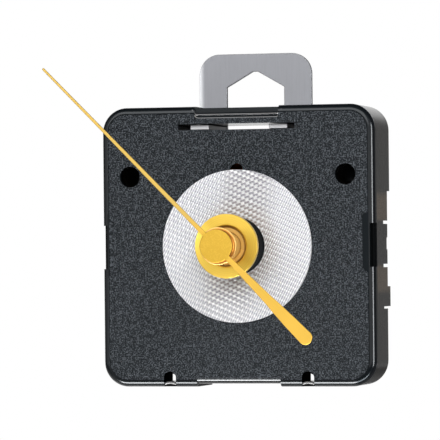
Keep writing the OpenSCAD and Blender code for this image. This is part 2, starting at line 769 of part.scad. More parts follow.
module rotor_shaft() {
    color([0.75, 0.75, 0.78]) rod(rotor_at, pin_r, plate_y + 0.1, rear_in - 0.3);
}

module rotor_pinion() {
    color([0.9, 0.9, 0.9]) difference() {
        union() {
            rod(rotor_at, hub_r, magnet_y + magnet_l, fifth_end + 0.3);
            gear(rotor_at, rotor_leaves, m_rotor_fifth, rotor_phase, fifth_y - 0.1, fifth_end + 0.1);
        }
        rod(rotor_at, pin_r, magnet_y, rear_in);
    }
}

module fifth_wheel() {
    color([0.93, 0.93, 0.9]) difference() {
        union() {
            rod(fifth_at, hub_r, plate_end + end_play, fifth_end + 0.3);
            gear(fifth_at, fifth_leaves, m_fifth_seconds, fifth_phase, second_y - 0.2, fifth_y);
            gear(fifth_at, fifth_teeth, m_rotor_fifth, 0, fifth_y, fifth_end);
        }
        rod(fifth_at, pin_r + run, plate_y, rear_in);
    }
}

module seconds_wheel() {
    color([0.93, 0.93, 0.9]) difference() {
        union() {
            gear([0, 0], seconds_leaves, m_seconds_third, 0, third_y - 0.2, second_y);
            gear([0, 0], seconds_teeth, m_fifth_seconds, 0, second_y, second_y + wheel_t);
            rod([0, 0], 1.5, second_y + wheel_t - eps, second_y + wheel_t + 0.9);
        }
        rod([0, 0], seconds_r, plate_y, rear_in);
    }
}

module seconds_shaft() {
    color([0.8, 0.8, 0.82]) rod([0, 0], seconds_r, -hand_h + blade_t, rear_in - 0.4);
}

// The hub's barrel and its lip, bored for the seconds shaft
module seconds_hub() {
    color([0.76, 0.52, 0.2]) difference() {
        union() {
            rod([0, 0], cap_r - 0.15, hub_y, hub_y + hub_l);
            rod([0, 0], lip_r, hub_y + hub_l - lip_t, hub_y + hub_l);
        }
        rod([0, 0], seconds_r, hub_y - 1, hub_y + hub_l + 1);
    }
}

// A flat stamping: a long needle, a round cap and a tail that widens to a round end
module seconds_hand() {
    tail_mid = tail_l - tail_r;
    // Widths along the tail as [distance from the axis, width]
    tail = [
        [0, tail_root_w], [4, tail_root_w + 0.05], [11, 1.56], [15, 1.87], [17, 2.2], [21, 2.58],
        [tail_mid, 2 * tail_r]
    ];
    color([0.93, 0.76, 0.29]) along_y(-hand_h, -hand_h + blade_t) {
        circle(cap_r);
        rotate(needle_angle) {
            polygon([
                [0, -needle_root_w / 2], [needle_l - needle_tip_w / 2, -needle_tip_w / 2],
                [needle_l - needle_tip_w / 2, needle_tip_w / 2], [0, needle_root_w / 2]
            ]);
            translate([needle_l - needle_tip_w / 2, 0]) circle(needle_tip_w / 2);
        }
        rotate(needle_angle + 180) {
            polygon(concat(
                [for (p = tail) [p[0], -p[1] / 2]],
                [for (i = [len(tail) - 1 : -1 : 0]) [tail[i][0], tail[i][1] / 2]]
            ));
            translate([tail_mid, 0]) circle(tail_r);
        }
    }
}

module third_wheel() {
    color([0.93, 0.93, 0.9]) difference() {
        union() {
            rod(third_at, hub_r, plate_end + end_play, third_y + wheel_t + 0.2);
            gear(third_at, third_leaves, m_third_centre, 0, centre_y - 0.1, third_y);
            gear(third_at, third_teeth, m_seconds_third, third_phase, third_y, third_y + wheel_t);
        }
        rod(third_at, pin_r + run, plate_y, rear_in);
    }
}

module centre_wheel() {
    color([0.93, 0.93, 0.9]) difference() {
        union() {
            gear([0, 0], centre_teeth, m_third_centre, centre_phase, centre_y, centre_y + wheel_t);
            rod([0, 0], 2, plate_end + end_play, centre_y + wheel_t + 0.2);
        }
        rod([0, 0], minute_root_r, plate_y, third_y);
    }
}

module minute_pipe() {
    pipe_end = motion_y - 0.05;
    color([0.82, 0.66, 0.36]) difference() {
        union() {
            rod([0, 0], minute_pipe_r, -minute_pipe_h, pipe_end);
            gear([0, 0], minute_leaves, m_minute_motion, 0, pipe_end - eps, motion_y + wheel_t + 0.1);
            rod([0, 0], minute_root_r, pipe_end, centre_y + wheel_t + 0.2);
        }
        rod([0, 0], seconds_r + run, -minute_pipe_h - 1, third_y);
    }
}

module motion_wheel() {
    color([0.93, 0.93, 0.9]) difference() {
        union() {
            gear(motion_at, motion_leaves, m_motion_hour, 0, hour_y - 0.1, motion_y);
            gear(motion_at, motion_teeth, m_minute_motion, motion_phase, motion_y, motion_y + wheel_t);
        }
        rod(motion_at, pin_r + run, 0, plate_end);
    }
}

module hour_wheel() {
    color([0.93, 0.93, 0.9]) difference() {
        gear([0, 0], hour_teeth, m_motion_hour, hour_phase, hour_y, hour_y + wheel_t);
        rod([0, 0], hour_pipe_r, 0, motion_y);
    }
}

module hour_pipe() {
    color([0.8, 0.63, 0.35]) difference() {
        rod([0, 0], hour_pipe_r, -hour_pipe_h, hour_y + wheel_t);
        rod([0, 0], minute_pipe_r + run, -hour_pipe_h - 1, motion_y);
    }
}

// The knob behind the case, with a milled edge, and its shaft
module setting_knob() {
    knob_y = case_depth + 0.2;
    notches_n = 36;
    color([0.2, 0.2, 0.2]) union() {
        translate([setting_at[0], 0, setting_at[1]]) along_y(knob_y, knob_y + knob_t)
            polygon([for (i = [0 : 2 * notches_n - 1])
                (knob_r - (i % 2) * 0.25) * [cos(180 * i / notches_n), sin(180 * i / notches_n)]]);
        rod(setting_at, setting_r, motion_y + wheel_t + 0.1, knob_y + eps);
        rod(setting_at, setting_r * 0.6, panel_t - pivot_depth + 0.1, motion_y + wheel_t + 0.1 + eps);
    }
}

module setting_pinion() {
    color([0.93, 0.93, 0.9]) difference() {
        gear(setting_at, setting_leaves, m_minute_motion, setting_phase, motion_y, motion_y + wheel_t + 0.1);
        rod(setting_at, setting_r * 0.6, 0, plate_end);
    }
}

front_cover();
rear_case();
threaded_neck();
dial_nut();
adhesive_pad();
pad_liner();
hanger();
middle_plate();
third_pin();
fifth_pin();
motion_pin();
coil_bobbin();
coil_winding();
coil_core();
stator();
circuit_board();
chip_cover();
quartz_crystal();
positive_contact();
negative_contact();
cell_spring();
rotor_magnet();
rotor_shaft();
rotor_pinion();
fifth_wheel();
seconds_wheel();
seconds_shaft();
seconds_hub();
seconds_hand();
third_wheel();
centre_wheel();
minute_pipe();
motion_wheel();
hour_wheel();
hour_pipe();
setting_knob();
setting_pinion();
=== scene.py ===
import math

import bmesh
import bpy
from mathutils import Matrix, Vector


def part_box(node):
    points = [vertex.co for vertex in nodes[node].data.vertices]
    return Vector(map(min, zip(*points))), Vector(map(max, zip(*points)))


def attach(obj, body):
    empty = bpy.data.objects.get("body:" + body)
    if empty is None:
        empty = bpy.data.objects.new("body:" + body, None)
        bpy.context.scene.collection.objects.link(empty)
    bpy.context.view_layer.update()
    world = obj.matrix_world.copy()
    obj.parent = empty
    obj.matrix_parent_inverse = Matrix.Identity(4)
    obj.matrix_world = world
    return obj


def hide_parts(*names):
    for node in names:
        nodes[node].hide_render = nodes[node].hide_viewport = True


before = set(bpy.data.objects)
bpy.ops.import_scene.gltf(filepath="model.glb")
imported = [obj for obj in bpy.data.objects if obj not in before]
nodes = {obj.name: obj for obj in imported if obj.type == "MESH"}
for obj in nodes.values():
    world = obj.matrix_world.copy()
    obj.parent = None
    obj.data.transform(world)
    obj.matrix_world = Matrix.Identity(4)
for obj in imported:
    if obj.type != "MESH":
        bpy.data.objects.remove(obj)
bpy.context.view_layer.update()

# %% [markdown]
# The frame is the CAD model of a clock movement that runs backwards. It is square and black, with
# a brass nut on its threaded neck, one gold seconds hand, a white sticky disc and a steel hanger.
# Every part already lies where it belongs, in metres, with the origin on the hands' axis.

MM = 0.001

# %% [markdown]
# A photograph's angle of view is rebuilt from where known points of the object fall in it. Here
# the camera stands 723 mm away, a little to the right, and is rolled by half a degree. It could be
# shifted to frame the object, but turning it by the same small angle keeps the lens plain, and
# then views from the other sides are framed well too.

# %% The camera
CAMERA_TURN = math.radians(14.45)
CAMERA_RISE = math.radians(-0.2)
CAMERA_ROLL = math.radians(-0.54)
CAMERA_DISTANCE = 0.723
FRAME_SIDE = 440
FOCAL_PIXELS = 3628
ORIGIN_PIXEL = (237.28, 246.16)
SENSOR_MM = 36

side = Vector((math.cos(CAMERA_TURN), math.sin(CAMERA_TURN), 0))
back = Vector((
    math.sin(CAMERA_TURN) * math.cos(CAMERA_RISE),
    -math.cos(CAMERA_TURN) * math.cos(CAMERA_RISE),
    math.sin(CAMERA_RISE),
))
level_up = back.cross(side)
right = side * math.cos(CAMERA_ROLL) + level_up * math.sin(CAMERA_ROLL)
up = level_up * math.cos(CAMERA_ROLL) - side * math.sin(CAMERA_ROLL)
off_right = FRAME_SIDE / 2 - ORIGIN_PIXEL[0]
off_up = ORIGIN_PIXEL[1] - FRAME_SIDE / 2
towards = (-back * FOCAL_PIXELS + right * off_right + up * off_up).normalized()
camera_x = (right - towards * right.dot(towards)).normalized()
camera_y = camera_x.cross(towards)

camera = bpy.data.objects.new("camera", bpy.data.cameras.new("camera"))
bpy.context.scene.collection.objects.link(camera)
turn = Matrix((camera_x, camera_y, -towards)).transposed()
camera.matrix_world = Matrix.Translation(back * CAMERA_DISTANCE) @ turn.to_4x4()
camera.data.sensor_width = SENSOR_MM
camera.data.lens = FOCAL_PIXELS * SENSOR_MM / FRAME_SIDE
camera.data.clip_start = 0.01
camera.data.clip_end = 20
bpy.context.scene.camera = camera
bpy.context.scene.view_settings.view_transform = "Standard"
print("camera lens", round(camera.data.lens, 1), "mm")

# %% [markdown]
# The photograph was taken in a white tent that is open behind and above the object: flat faces
# mirror a bright front, while the rims and the side mirror a dark surround. The world is made the
# same way. Its light depends on the direction: full in front, fading to the back and overhead, and
# full again straight behind. What the camera sees of it is plain white. Lamps then draw the bright
# lines along the lower and right rims.

# %% The world
DIFFUSE_LEVEL = 0.5
BEHIND_LEVEL = 0.1
OVERHEAD_LEVEL = 0.25
FAR_LEVEL = 0.14
FRONT_FADE = (-0.75, 0.1)
OVERHEAD_FADE = (0.3, 0.8)
BACK_FADE = (0.8, 0.96)
BACK_SIDE_FADE = (0.04, 0.18)


def add_node(tree, kind, values=(), **settings):
    """A node with its settings. A value that is a socket becomes a link."""
    made = tree.nodes.new(kind)
    for key, value in settings.items():
        setattr(made, key, value)
    for key, value in dict(values).items():
        if isinstance(value, bpy.types.NodeSocket):
            tree.links.new(value, made.inputs[key])
        else:
            made.inputs[key].default_value = value
    return made


def wire(tree, inputs, results):
    """Links results to the inputs of a node, each by its name."""
    for key, result in results.items():
        tree.links.new(result, inputs[key])


def maths(tree, operation, *values, clamp=False):
    """One sum, put out as a socket."""
    return add_node(
        tree, "ShaderNodeMath", enumerate(values), operation=operation, use_clamp=clamp
    ).outputs[0]


def ramp(tree, value, start, end, low, high):
    """A smooth step from one level to another."""
    return add_node(tree, "ShaderNodeMapRange", {
        "Value": value, "From Min": start, "From Max": end, "To Min": low, "To Max": high,
    }, interpolation_type="SMOOTHSTEP").outputs[0]


def split(tree, vector):
    """The three parts of a vector."""
    return add_node(tree, "ShaderNodeSeparateXYZ", {0: vector}).outputs


def combined(tree, x=0.0, y=0.0, z=0.0):
    """A vector made of three parts."""
    return add_node(tree, "ShaderNodeCombineXYZ", {0: x, 1: y, 2: z}).outputs[0]


def from_axis(tree, x, z):
    """How far a point lies from the axis, seen from the front."""
    return add_node(tree, "ShaderNodeVectorMath", {0: combined(tree, x, 0.0, z)},
                    operation="LENGTH").outputs["Value"]


def own_place(tree):
    """The point that is shaded, in the object's own coordinates."""
    return add_node(tree, "ShaderNodeTexCoord").outputs["Object"]


world = bpy.data.worlds.new("white tent")
bpy.context.scene.world = world
world.use_nodes = True
tree = world.node_tree
tree.nodes.clear()
path = add_node(tree, "ShaderNodeLightPath").outputs
direction = add_node(tree, "ShaderNodeTexCoord").outputs["Generated"]
x, y, z = split(tree, direction)
in_front = ramp(tree, y, *FRONT_FADE, 1.0, BEHIND_LEVEL)
overhead = ramp(tree, z, *OVERHEAD_FADE, 1.0, OVERHEAD_LEVEL)
far_back = maths(tree, "MULTIPLY", ramp(tree, y, *BACK_FADE, 0.0, 1.0),
                 ramp(tree, x, *BACK_SIDE_FADE, 1.0, FAR_LEVEL))
tent = maths(tree, "MULTIPLY_ADD", in_front, overhead, far_back)
mirrored = maths(tree, "MAXIMUM", path["Is Glossy Ray"], path["Is Transmission Ray"])
level = maths(tree, "MULTIPLY_ADD", mirrored, 1 - DIFFUSE_LEVEL, DIFFUSE_LEVEL)
lit = maths(tree, "MULTIPLY", tent, level)
strength = maths(tree, "MAXIMUM", path["Is Camera Ray"], lit)
sky = add_node(tree, "ShaderNodeBackground", {"Color": (1, 1, 1, 1), "Strength": strength})
add_node(tree, "ShaderNodeOutputWorld", {"Surface": sky.outputs[0]})

# %% [markdown]
# A lamp's mirror image in a rounded rim is a thin line, and its place on the rim tells where the
# lamp stands. The line in the middle of the lower rim needs a lamp almost straight below, and the
# one on the right rim a tall lamp on the right. The lamps are hidden from the camera.


# %% The lamps
def lamp(name, place, target, width, height, watts, matte=True, mirrored=True):
    """A soft rectangular lamp that looks at a point, for matte light, mirror images or both."""
    light = bpy.data.lights.new(name, "AREA")
    light.shape = "RECTANGLE"
    light.size = width
    light.size_y = height
    light.energy = watts
    made = bpy.data.objects.new(name, light)
    bpy.context.scene.collection.objects.link(made)
    made.location = place
    made.rotation_euler = (Vector(target) - Vector(place)).to_track_quat("-Z", "Y").to_euler()
    made.visible_camera = False
    made.visible_diffuse = matte
    made.visible_glossy = mirrored
    return made


lamp("front lamp", (-0.1, -0.85, 0.42), (0, 0, 0), 1.0, 0.6, 6.5)
lamp("low lamp", (0.02, -0.3, -0.34), (0, 0, 0), 0.6, 0.14, 7.0, matte=False)
lamp("right lamp", (0.62, -0.22, 0.0), (0, 0, 0), 0.2, 0.4, 4.0, matte=False)
fan_lamp = lamp("fan lamp", (-0.57, -0.8, 0.1), (0, 0, 0), 0.09, 0.09, 4.0, matte=False)
lamp("back lamp", (-0.3, 0.9, 0.6), (0, 0, 0), 0.6, 0.4, 14.0, mirrored=False)
lamp("corner lamp", (0.22, -0.14, 0.22), (0, 0, 0), 0.06, 0.06, 0.5, mirrored=False)

# %% [markdown]
# A pale floor lies well below the object. It keeps its shadow, and glows a little for the camera
# alone, so that views from above have a pale ground too.

# %% The floor
FLOOR_DEPTH = 0.4
FLOOR_HALF = 3.0
FLOOR_GLOW = 0.55

floor_mesh = bpy.data.meshes.new("floor")
floor_mesh.from_pydata(
    [(x * FLOOR_HALF, y * FLOOR_HALF, -FLOOR_DEPTH)
     for x, y in ((-1, -1), (1, -1), (1, 1), (-1, 1))],
    [], [(0, 1, 2, 3)])
floor = bpy.data.objects.new("floor", floor_mesh)
bpy.context.scene.collection.objects.link(floor)


def new_material(name, **sockets):
    """A material with one Principled shader, whose plain values are set on its own sockets."""
    made = bpy.data.materials.new(name)
    made.use_nodes = True
    shader = made.node_tree.nodes["Principled BSDF"]
    for key, value in sockets.items():
        shader.inputs[key].default_value = value
    return made, made.node_tree, shader


floor_paint, tree, shader = new_material("pale floor", Roughness=0.9, **{
    "Base Color": (0.86, 0.86, 0.86, 1), "Emission Color": (1, 1, 1, 1)})
seen = add_node(tree, "ShaderNodeLightPath").outputs["Is Camera Ray"]
wire(tree, shader.inputs, {"Emission Strength": maths(tree, "MULTIPLY", seen, FLOOR_GLOW)})
floor_mesh.materials.append(floor_paint)

# %% [markdown]
# Colours are written as they look on a screen, from 0 to 255, because that is how a finish is
# judged. Blender's sockets take linear light, so one short helper turns them.


# %% Colours
def colour(red, green, blue):
    """Screen values to the linear colour that a socket takes."""
    linear = [
        v / 255 / 12.92 if v <= 10 else ((v / 255 + 0.055) / 1.055) ** 2.4
        for v in (red, green, blue)
    ]
    return (*linear, 1)


def mixed(tree, factor, first, second):
    """Two colours mixed by a factor."""
    return add_node(tree, "ShaderNodeMix", {
        "Factor": factor, 6: first, 7: second}, data_type="RGBA").outputs[2]


def blended(tree, factor, first, second):
    """Two numbers mixed by a factor."""
    return add_node(tree, "ShaderNodeMix", {"Factor": factor, 2: first, 3: second}).outputs[0]


# %% [markdown]
# Several finishes share the same effects: a fine moulded grain, the rings that a lathe leaves,
# brushed lines, and the faint marks of handling. Each is a shader node group, built once with
# named inputs, and placed in a material with its own values. A group gives only heights and
# tones. The shader itself stays in the material.


# %% A helper for shader groups
def new_group(name, inputs, outputs):
    """An empty shader group with named float and vector sockets."""
    group = bpy.data.node_groups.new(name, "ShaderNodeTree")
    for key, kind in inputs.items():
        group.interface.new_socket(key, in_out="INPUT", socket_type="NodeSocket" + kind)
    for key in outputs:
        group.interface.new_socket(key, in_out="OUTPUT", socket_type="NodeSocketFloat")
    given = group.nodes.new("NodeGroupInput").outputs
    return group, given, group.nodes.new("NodeGroupOutput").inputs


def noise(tree, vector, scale, detail=2.0, roughness=0.5):
    """Soft random tones from 0 to 1."""
    return add_node(tree, "ShaderNodeTexNoise", {
        "Vector": vector, "Scale": scale, "Detail": detail, "Roughness": roughness,
    }).outputs[0]


# %% The moulded grain
PALE_FROM = (0.605, 0.8)
grain_group, given, out = new_group(
    "moulded grain", {"Vector": "Vector", "Size": "Float"}, ("Height", "Tone"))
scale = maths(grain_group, "DIVIDE", 1.0, given["Size"])
pits = noise(grain_group, given["Vector"], scale, roughness=0.6)
blotch_scale = maths(grain_group, "MULTIPLY", scale, 0.3)
blotches = noise(grain_group, given["Vector"], blotch_scale)
height = maths(grain_group, "MULTIPLY_ADD", blotches, 0.3, pits)
tone = ramp(grain_group, height, *PALE_FROM, 0.0, 1.0)
wire(grain_group, out, {"Height": height, "Tone": tone})

# %% [markdown]
# A turned face catches the light in a fan, because its tool marks are circles round the axis. The
# group measures how far a point is from that axis and how far along it, and draws its noise from
# these two alone, so that it makes rings on a face and bands on a barrel.

# %% The rings of a turned part
ring_group, given, out = new_group(
    "turned rings", {"Vector": "Vector", "Pitch": "Float"}, ("Height", "Tone"))
x, y, z = split(ring_group, given["Vector"])
lathe = combined(ring_group, from_axis(ring_group, x, z), y)
scale = maths(ring_group, "DIVIDE", 1.0, given["Pitch"])
rings = noise(ring_group, lathe, scale, roughness=0.7)
wire(ring_group, out, {
    "Height": rings, "Tone": maths(ring_group, "SMOOTH_MAX", rings, 0.0, 0.1)})

# %% [markdown]
# Rolled sheet has short lines all in one direction. Stretching the noise along one axis makes
# them. The marks of handling are large and faint, and only move the roughness a little.

# %% Brushed lines and the marks of handling
BRUSH_STRETCH = 0.06
brush_group, given, out = new_group(
    "brushed lines", {"Vector": "Vector", "Pitch": "Float"}, ("Height", "Tone"))
long_way = add_node(brush_group, "ShaderNodeMapping", {
    "Vector": given["Vector"], "Scale": (1, 1, BRUSH_STRETCH)})
scale = maths(brush_group, "DIVIDE", 1.0, given["Pitch"])
lines = noise(brush_group, long_way.outputs[0], scale, detail=3.0, roughness=0.6)
wire(brush_group, out, {"Height": lines, "Tone": lines})

marks_group, given, out = new_group(
    "marks of handling", {"Vector": "Vector", "Base": "Float", "Amount": "Float"}, ("Roughness",))
smears = noise(marks_group, given["Vector"], 90.0, detail=4.0, roughness=0.6)
spread = maths(marks_group, "SUBTRACT", smears, 0.5)
wire(marks_group, out, {
    "Roughness": maths(marks_group, "MULTIPLY_ADD", spread, given["Amount"], given["Base"])})


# %% [markdown]
# The disc's liner is pressed with a slanted lattice of bumps. Seen from afar, three families of
# lines through the bumps add up: the rows, the columns, and the slanted lines between them. The
# group sums one cosine wave for each family, counted in steps of the lattice, so that its waves
# stay in step with the bumps that are placed later. The sum is used to paint light on the bumps
# and shade in the gaps between them.

# %% The painted light and shade of the pressed lattice
ROW_PITCH, ROW_STEP, ROW_SHIFT = 0.91 * MM, 1.105 * MM, 0.06 * MM
ROW_ANGLE = math.radians(-23.8)
lattice_shade_group, given, out = new_group(
    "pressed lattice",
    {"Vector": "Vector", "Pitch": "Float", "Angle": "Float", "Step": "Float", "Shift": "Float"},
    ("Dots", "Strokes"))
x, _, z = split(lattice_shade_group, given["Vector"])
run_x = maths(lattice_shade_group, "MULTIPLY", given["Pitch"], maths(lattice_shade_group, "COSINE", given["Angle"]))
run_z = maths(lattice_shade_group, "MULTIPLY", given["Pitch"], maths(lattice_shade_group, "SINE", given["Angle"]))
area = maths(lattice_shade_group, "SUBTRACT", maths(lattice_shade_group, "MULTIPLY", run_x, given["Step"]),
             maths(lattice_shade_group, "MULTIPLY", run_z, given["Shift"]))
column = maths(lattice_shade_group, "DIVIDE", maths(
    lattice_shade_group, "SUBTRACT", maths(lattice_shade_group, "MULTIPLY", x, given["Step"]),
    maths(lattice_shade_group, "MULTIPLY", z, given["Shift"])), area)
row = maths(lattice_shade_group, "DIVIDE", maths(
    lattice_shade_group, "SUBTRACT", maths(lattice_shade_group, "MULTIPLY", z, run_x),
    maths(lattice_shade_group, "MULTIPLY", x, run_z)), area)


def waves(*families):
    """A sum of cosine waves, each given as a weight and its steps along columns and rows."""
    total = 0.5
    for weight, columns, rows in families:
        turns = maths(lattice_shade_group, "MULTIPLY_ADD", column, columns,
                      maths(lattice_shade_group, "MULTIPLY", row, rows))
        wave = maths(lattice_shade_group, "COSINE", maths(lattice_shade_group, "MULTIPLY", turns, 2 * math.pi))
        total = maths(lattice_shade_group, "MULTIPLY_ADD", wave, weight, total)
    return maths(lattice_shade_group, "ADD", total, 0.0, clamp=True)


wire(lattice_shade_group, out, {
    "Dots": waves((0.4, 0, 1), (0.32, 1, -1), (0.2, 1, 0), (0.2, 0, 2)),
    "Strokes": waves((0.42, 2, -1), (0.14, 0, 1), (0.1, 1, 0))})


def place_group(tree, group, **values):
    """One shader group in a material, with its own values."""
    return add_node(tree, "ShaderNodeGroup", values, node_tree=group).outputs


# %% [markdown]
# Most finishes follow one plan: two close colours mixed by a tone, a roughness that wanders a
# little, and a shallow bump. One function builds that plan, and each finish gives its own
# numbers. Metal, plastic and foam then differ by their values and by the group that they use.


# %% One plan for the finishes
def finish(name, dark, light, group, size, bump, rough, wander=0.1, **sockets):
    """A material whose colour, roughness and bump come from one shared effect."""
    made, tree, shader = new_material(name, **sockets)
    place = own_place(tree)
    size_key = "Size" if group is grain_group else "Pitch"
    effect = place_group(tree, group, **{"Vector": place, size_key: size})
    marks = place_group(tree, marks_group, Vector=place, Base=rough, Amount=wander)
    relief = add_node(tree, "ShaderNodeBump", {
        "Height": effect["Height"], "Strength": 0.6, "Distance": bump}).outputs[0]
    wire(tree, shader.inputs, {
        "Base Color": mixed(tree, effect["Tone"], dark, light),
        "Roughness": marks["Roughness"], "Normal": relief})
    return made


gold_hand = finish("gold hand", colour(178, 143, 52), colour(186, 151, 59), grain_group,
                   0.25 * MM, 0.008 * MM, 0.4, Metallic=1.0)
brass_nut = finish("brass nut", colour(200, 166, 55), colour(224, 188, 73), ring_group,
                   0.16 * MM, 0.012 * MM, 0.3, Metallic=0.55, Anisotropic=0.5,
                   **{"Anisotropic Rotation": 0.25})
tree = brass_nut.node_tree
grooves = add_node(tree, "ShaderNodeTangent", direction_type="RADIAL", axis="Y").outputs[0]
wire(tree, tree.nodes["Principled BSDF"].inputs, {"Tangent": grooves})
brass_neck = finish("brass neck", colour(182, 144, 72), colour(194, 156, 84), ring_group,
                    0.2 * MM, 0.01 * MM, 0.42, Metallic=0.6)
pipe_brass = finish("pipe brass", colour(214, 177, 102), colour(224, 189, 116), ring_group,
                    0.2 * MM, 0.01 * MM, 0.45, Metallic=0.4)
hub_copper = finish("hub copper", colour(171, 113, 41), colour(184, 127, 54), ring_group,
                    0.2 * MM, 0.012 * MM, 0.4, Metallic=0.8)
hanger_steel = finish("hanger steel", colour(122, 123, 127), colour(132, 133, 137), brush_group,
                      0.3 * MM, 0.006 * MM, 0.45, Metallic=1.0)


def painted_light_tone(material, reach, start, end, tone):
    """Painted light or shade: another colour beyond a border, in distance from the axis, along X,
    or in height.
    """
    tree = material.node_tree
    shader = tree.nodes["Principled BSDF"]
    x, _, z = split(tree, own_place(tree))
    measure = from_axis(tree, x, z) if reach == "radius" else {"side": x, "height": z}[reach]
    beyond = ramp(tree, measure, start * MM, end * MM, 0.0, 1.0)
    first = shader.inputs["Base Color"].links[0].from_socket
    wire(tree, shader.inputs, {"Base Color": mixed(tree, beyond, first, tone)})


# Painted light: beyond the cap the arms are lighter, and the needle higher up has its own paler
# tone, for how light falls on each.
painted_light_tone(gold_hand, "radius", 3.2, 3.9, colour(193, 155, 66))
painted_light_tone(gold_hand, "height", 3.0, 6.0, colour(182, 152, 78))
# Painted highlight: the hub's lip edge is cream.
painted_light_tone(hub_copper, "radius", 3.4, 3.62, colour(226, 182, 108))
# Painted highlight: the hanger's left edge fades to near white.
painted_light_tone(hanger_steel, "side", -10.5, -12.7, colour(250, 252, 255))
# Painted reflection: the bent tabs low in the slot are lighter steel.
painted_light_tone(hanger_steel, "height", 26.0, 24.8, colour(190, 190, 192))
bright_steel = finish("bright steel", colour(178, 178, 184), colour(205, 205, 210), ring_group,
                      0.15 * MM, 0.005 * MM, 0.22, Metallic=1.0)
nickel = finish("nickel strip", colour(190, 190, 186), colour(214, 214, 210), brush_group,
                0.2 * MM, 0.008 * MM, 0.3, Metallic=1.0)
foam_white = finish("white foam", colour(214, 214, 216), colour(232, 232, 234), grain_group,
                    0.12 * MM, 0.05 * MM, 0.9)
nylon = finish("white nylon", colour(226, 224, 214), colour(238, 237, 230), grain_group,
               0.5 * MM, 0.01 * MM, 0.45)
plate_nylon = finish("plate nylon", colour(205, 204, 196), colour(220, 219, 212), grain_group,
                     0.6 * MM, 0.02 * MM, 0.5)
soft_iron = finish("soft iron", colour(120, 118, 114), colour(146, 144, 140), brush_group,
                   0.3 * MM, 0.01 * MM, 0.45, Metallic=1.0)
magnet_black = finish("magnet", colour(62, 61, 64), colour(82, 81, 84), grain_group,
                      0.3 * MM, 0.02 * MM, 0.4, Metallic=0.7)
epoxy_black = finish("black epoxy", colour(18, 18, 19), colour(32, 32, 34), grain_group,
                     0.8 * MM, 0.02 * MM, 0.25)
knob_plastic = finish("knob plastic", colour(30, 30, 31), colour(42, 42, 43), grain_group,
                      0.5 * MM, 0.02 * MM, 0.45)

# %% [markdown]
# The liner itself is white, and its light and shade are painted. In a band above and below the nut
# the gaps between the bumps are painted dark, so the bumps show as dots, and to the sides the
# painted shade runs together into fine strokes. Close to the nut a painted reflection of its brass
# tints the gaps. The last steps mix the painted gap shade and the white by the lattice's waves.

# %% The liner
NUT_REFLECTION_REACH = (6.2 * MM, 10.5 * MM)
BAND_LEAN = -0.2
BAND_EDGE = (2.5 * MM, 7.5 * MM)
BAND_END = (-14 * MM, -9 * MM)
liner_white, tree, shader = new_material("white liner", Roughness=0.35)
place = own_place(tree)
x, _, z = split(tree, place)
# Painted reflection of the nut's brass in the gaps close to it.
nut_reflection = ramp(tree, from_axis(tree, x, z), *NUT_REFLECTION_REACH, 0.8, 0.0)
off_band = maths(tree, "ABSOLUTE", maths(tree, "MULTIPLY_ADD", z, BAND_LEAN, x))
banded = maths(tree, "MULTIPLY", ramp(tree, off_band, *BAND_EDGE, 1.0, 0.0),
               ramp(tree, z, *BAND_END, 0.4, 1.0))
lattice_shading = place_group(tree, lattice_shade_group, Vector=place, Pitch=ROW_PITCH, Angle=ROW_ANGLE,
                    Step=ROW_STEP, Shift=ROW_SHIFT)
bump_light_and_shade = blended(tree, banded, lattice_shading["Strokes"], lattice_shading["Dots"])
# Painted shade in the gaps between bumps, deeper in the band above and below the nut.
gap_shade = mixed(tree, banded, colour(170, 171, 182), colour(140, 138, 146))
gap_shade = mixed(tree, nut_reflection, gap_shade, colour(140, 122, 106))
wire(tree, shader.inputs, {"Base Color": mixed(tree, bump_light_and_shade, gap_shade, colour(254, 254, 255))})
print("finishes:", len(bpy.data.materials))

# %% [markdown]
# The housing is one dark plastic, but not one finish. Its flat front panel is spark-eroded in the
# mould and looks dull and speckled, inside a fine step line. The rounded rim, the sunk steps and
# the edges of the holes are smooth and mirror the tent. Masks drawn from the object's own
# coordinates tell them apart: how far a point lies inside a rounded square, and how deep it is.


# %% What both shells share
def inside_square(tree, x, z, half, corner, soft=0.05 * MM):
    """1 inside a rounded square seen from the front, 0 outside, with a soft edge."""
    reach = [
        maths(tree, "MAXIMUM", maths(tree, "SUBTRACT", maths(tree, "ABSOLUTE", part),
                                     half - corner), 0.0)
        for part in (x, z)
    ]
    depth = maths(tree, "SUBTRACT", corner, from_axis(tree, *reach))
    return maths(tree, "DIVIDE", depth, soft, clamp=True)


def plain_plastic(name, gloss):
    """The plastic with its gloss, faint waves and marks. The rest of a shell is mixed into it."""
    made, tree, shader = new_material(name, **{
        "Specular IOR Level": gloss, "Coat Roughness": 0.16,
        "Specular Tint": (0.82, 0.92, 1.0, 1.0)})
    place = own_place(tree)
    polish = place_group(tree, grain_group, Vector=place, Size=2.5 * MM)
    marks = place_group(tree, marks_group, Vector=place, Base=0.16, Amount=0.1)
    relief = add_node(tree, "ShaderNodeBump", {
        "Height": polish["Height"], "Strength": 0.5, "Distance": 0.01 * MM}).outputs[0]
    return made, tree, shader, place, polish["Tone"], marks["Roughness"], relief


# %% [markdown]
# The rear shell is smooth. Beside its latches the flanks carry a painted brown reflection, which
# depends on the height alone. What lies behind the seam, inside the front shell's edge, gets no
# light, and is painted black as shade.

# %% The rear shell
LATCH_MIDDLE = 0.4 * MM
LATCH_END = (4.0 * MM, 5.0 * MM)
BROWN_REFLECTION_END = (9.0 * MM, 10.5 * MM)
FLANK_X = 27.7 * MM
SEAM_Y = 2.3 * MM
case_rear, tree, shader, place, tone, rough, relief = plain_plastic("rear plastic", 0.08)
x, y, z = split(tree, place)
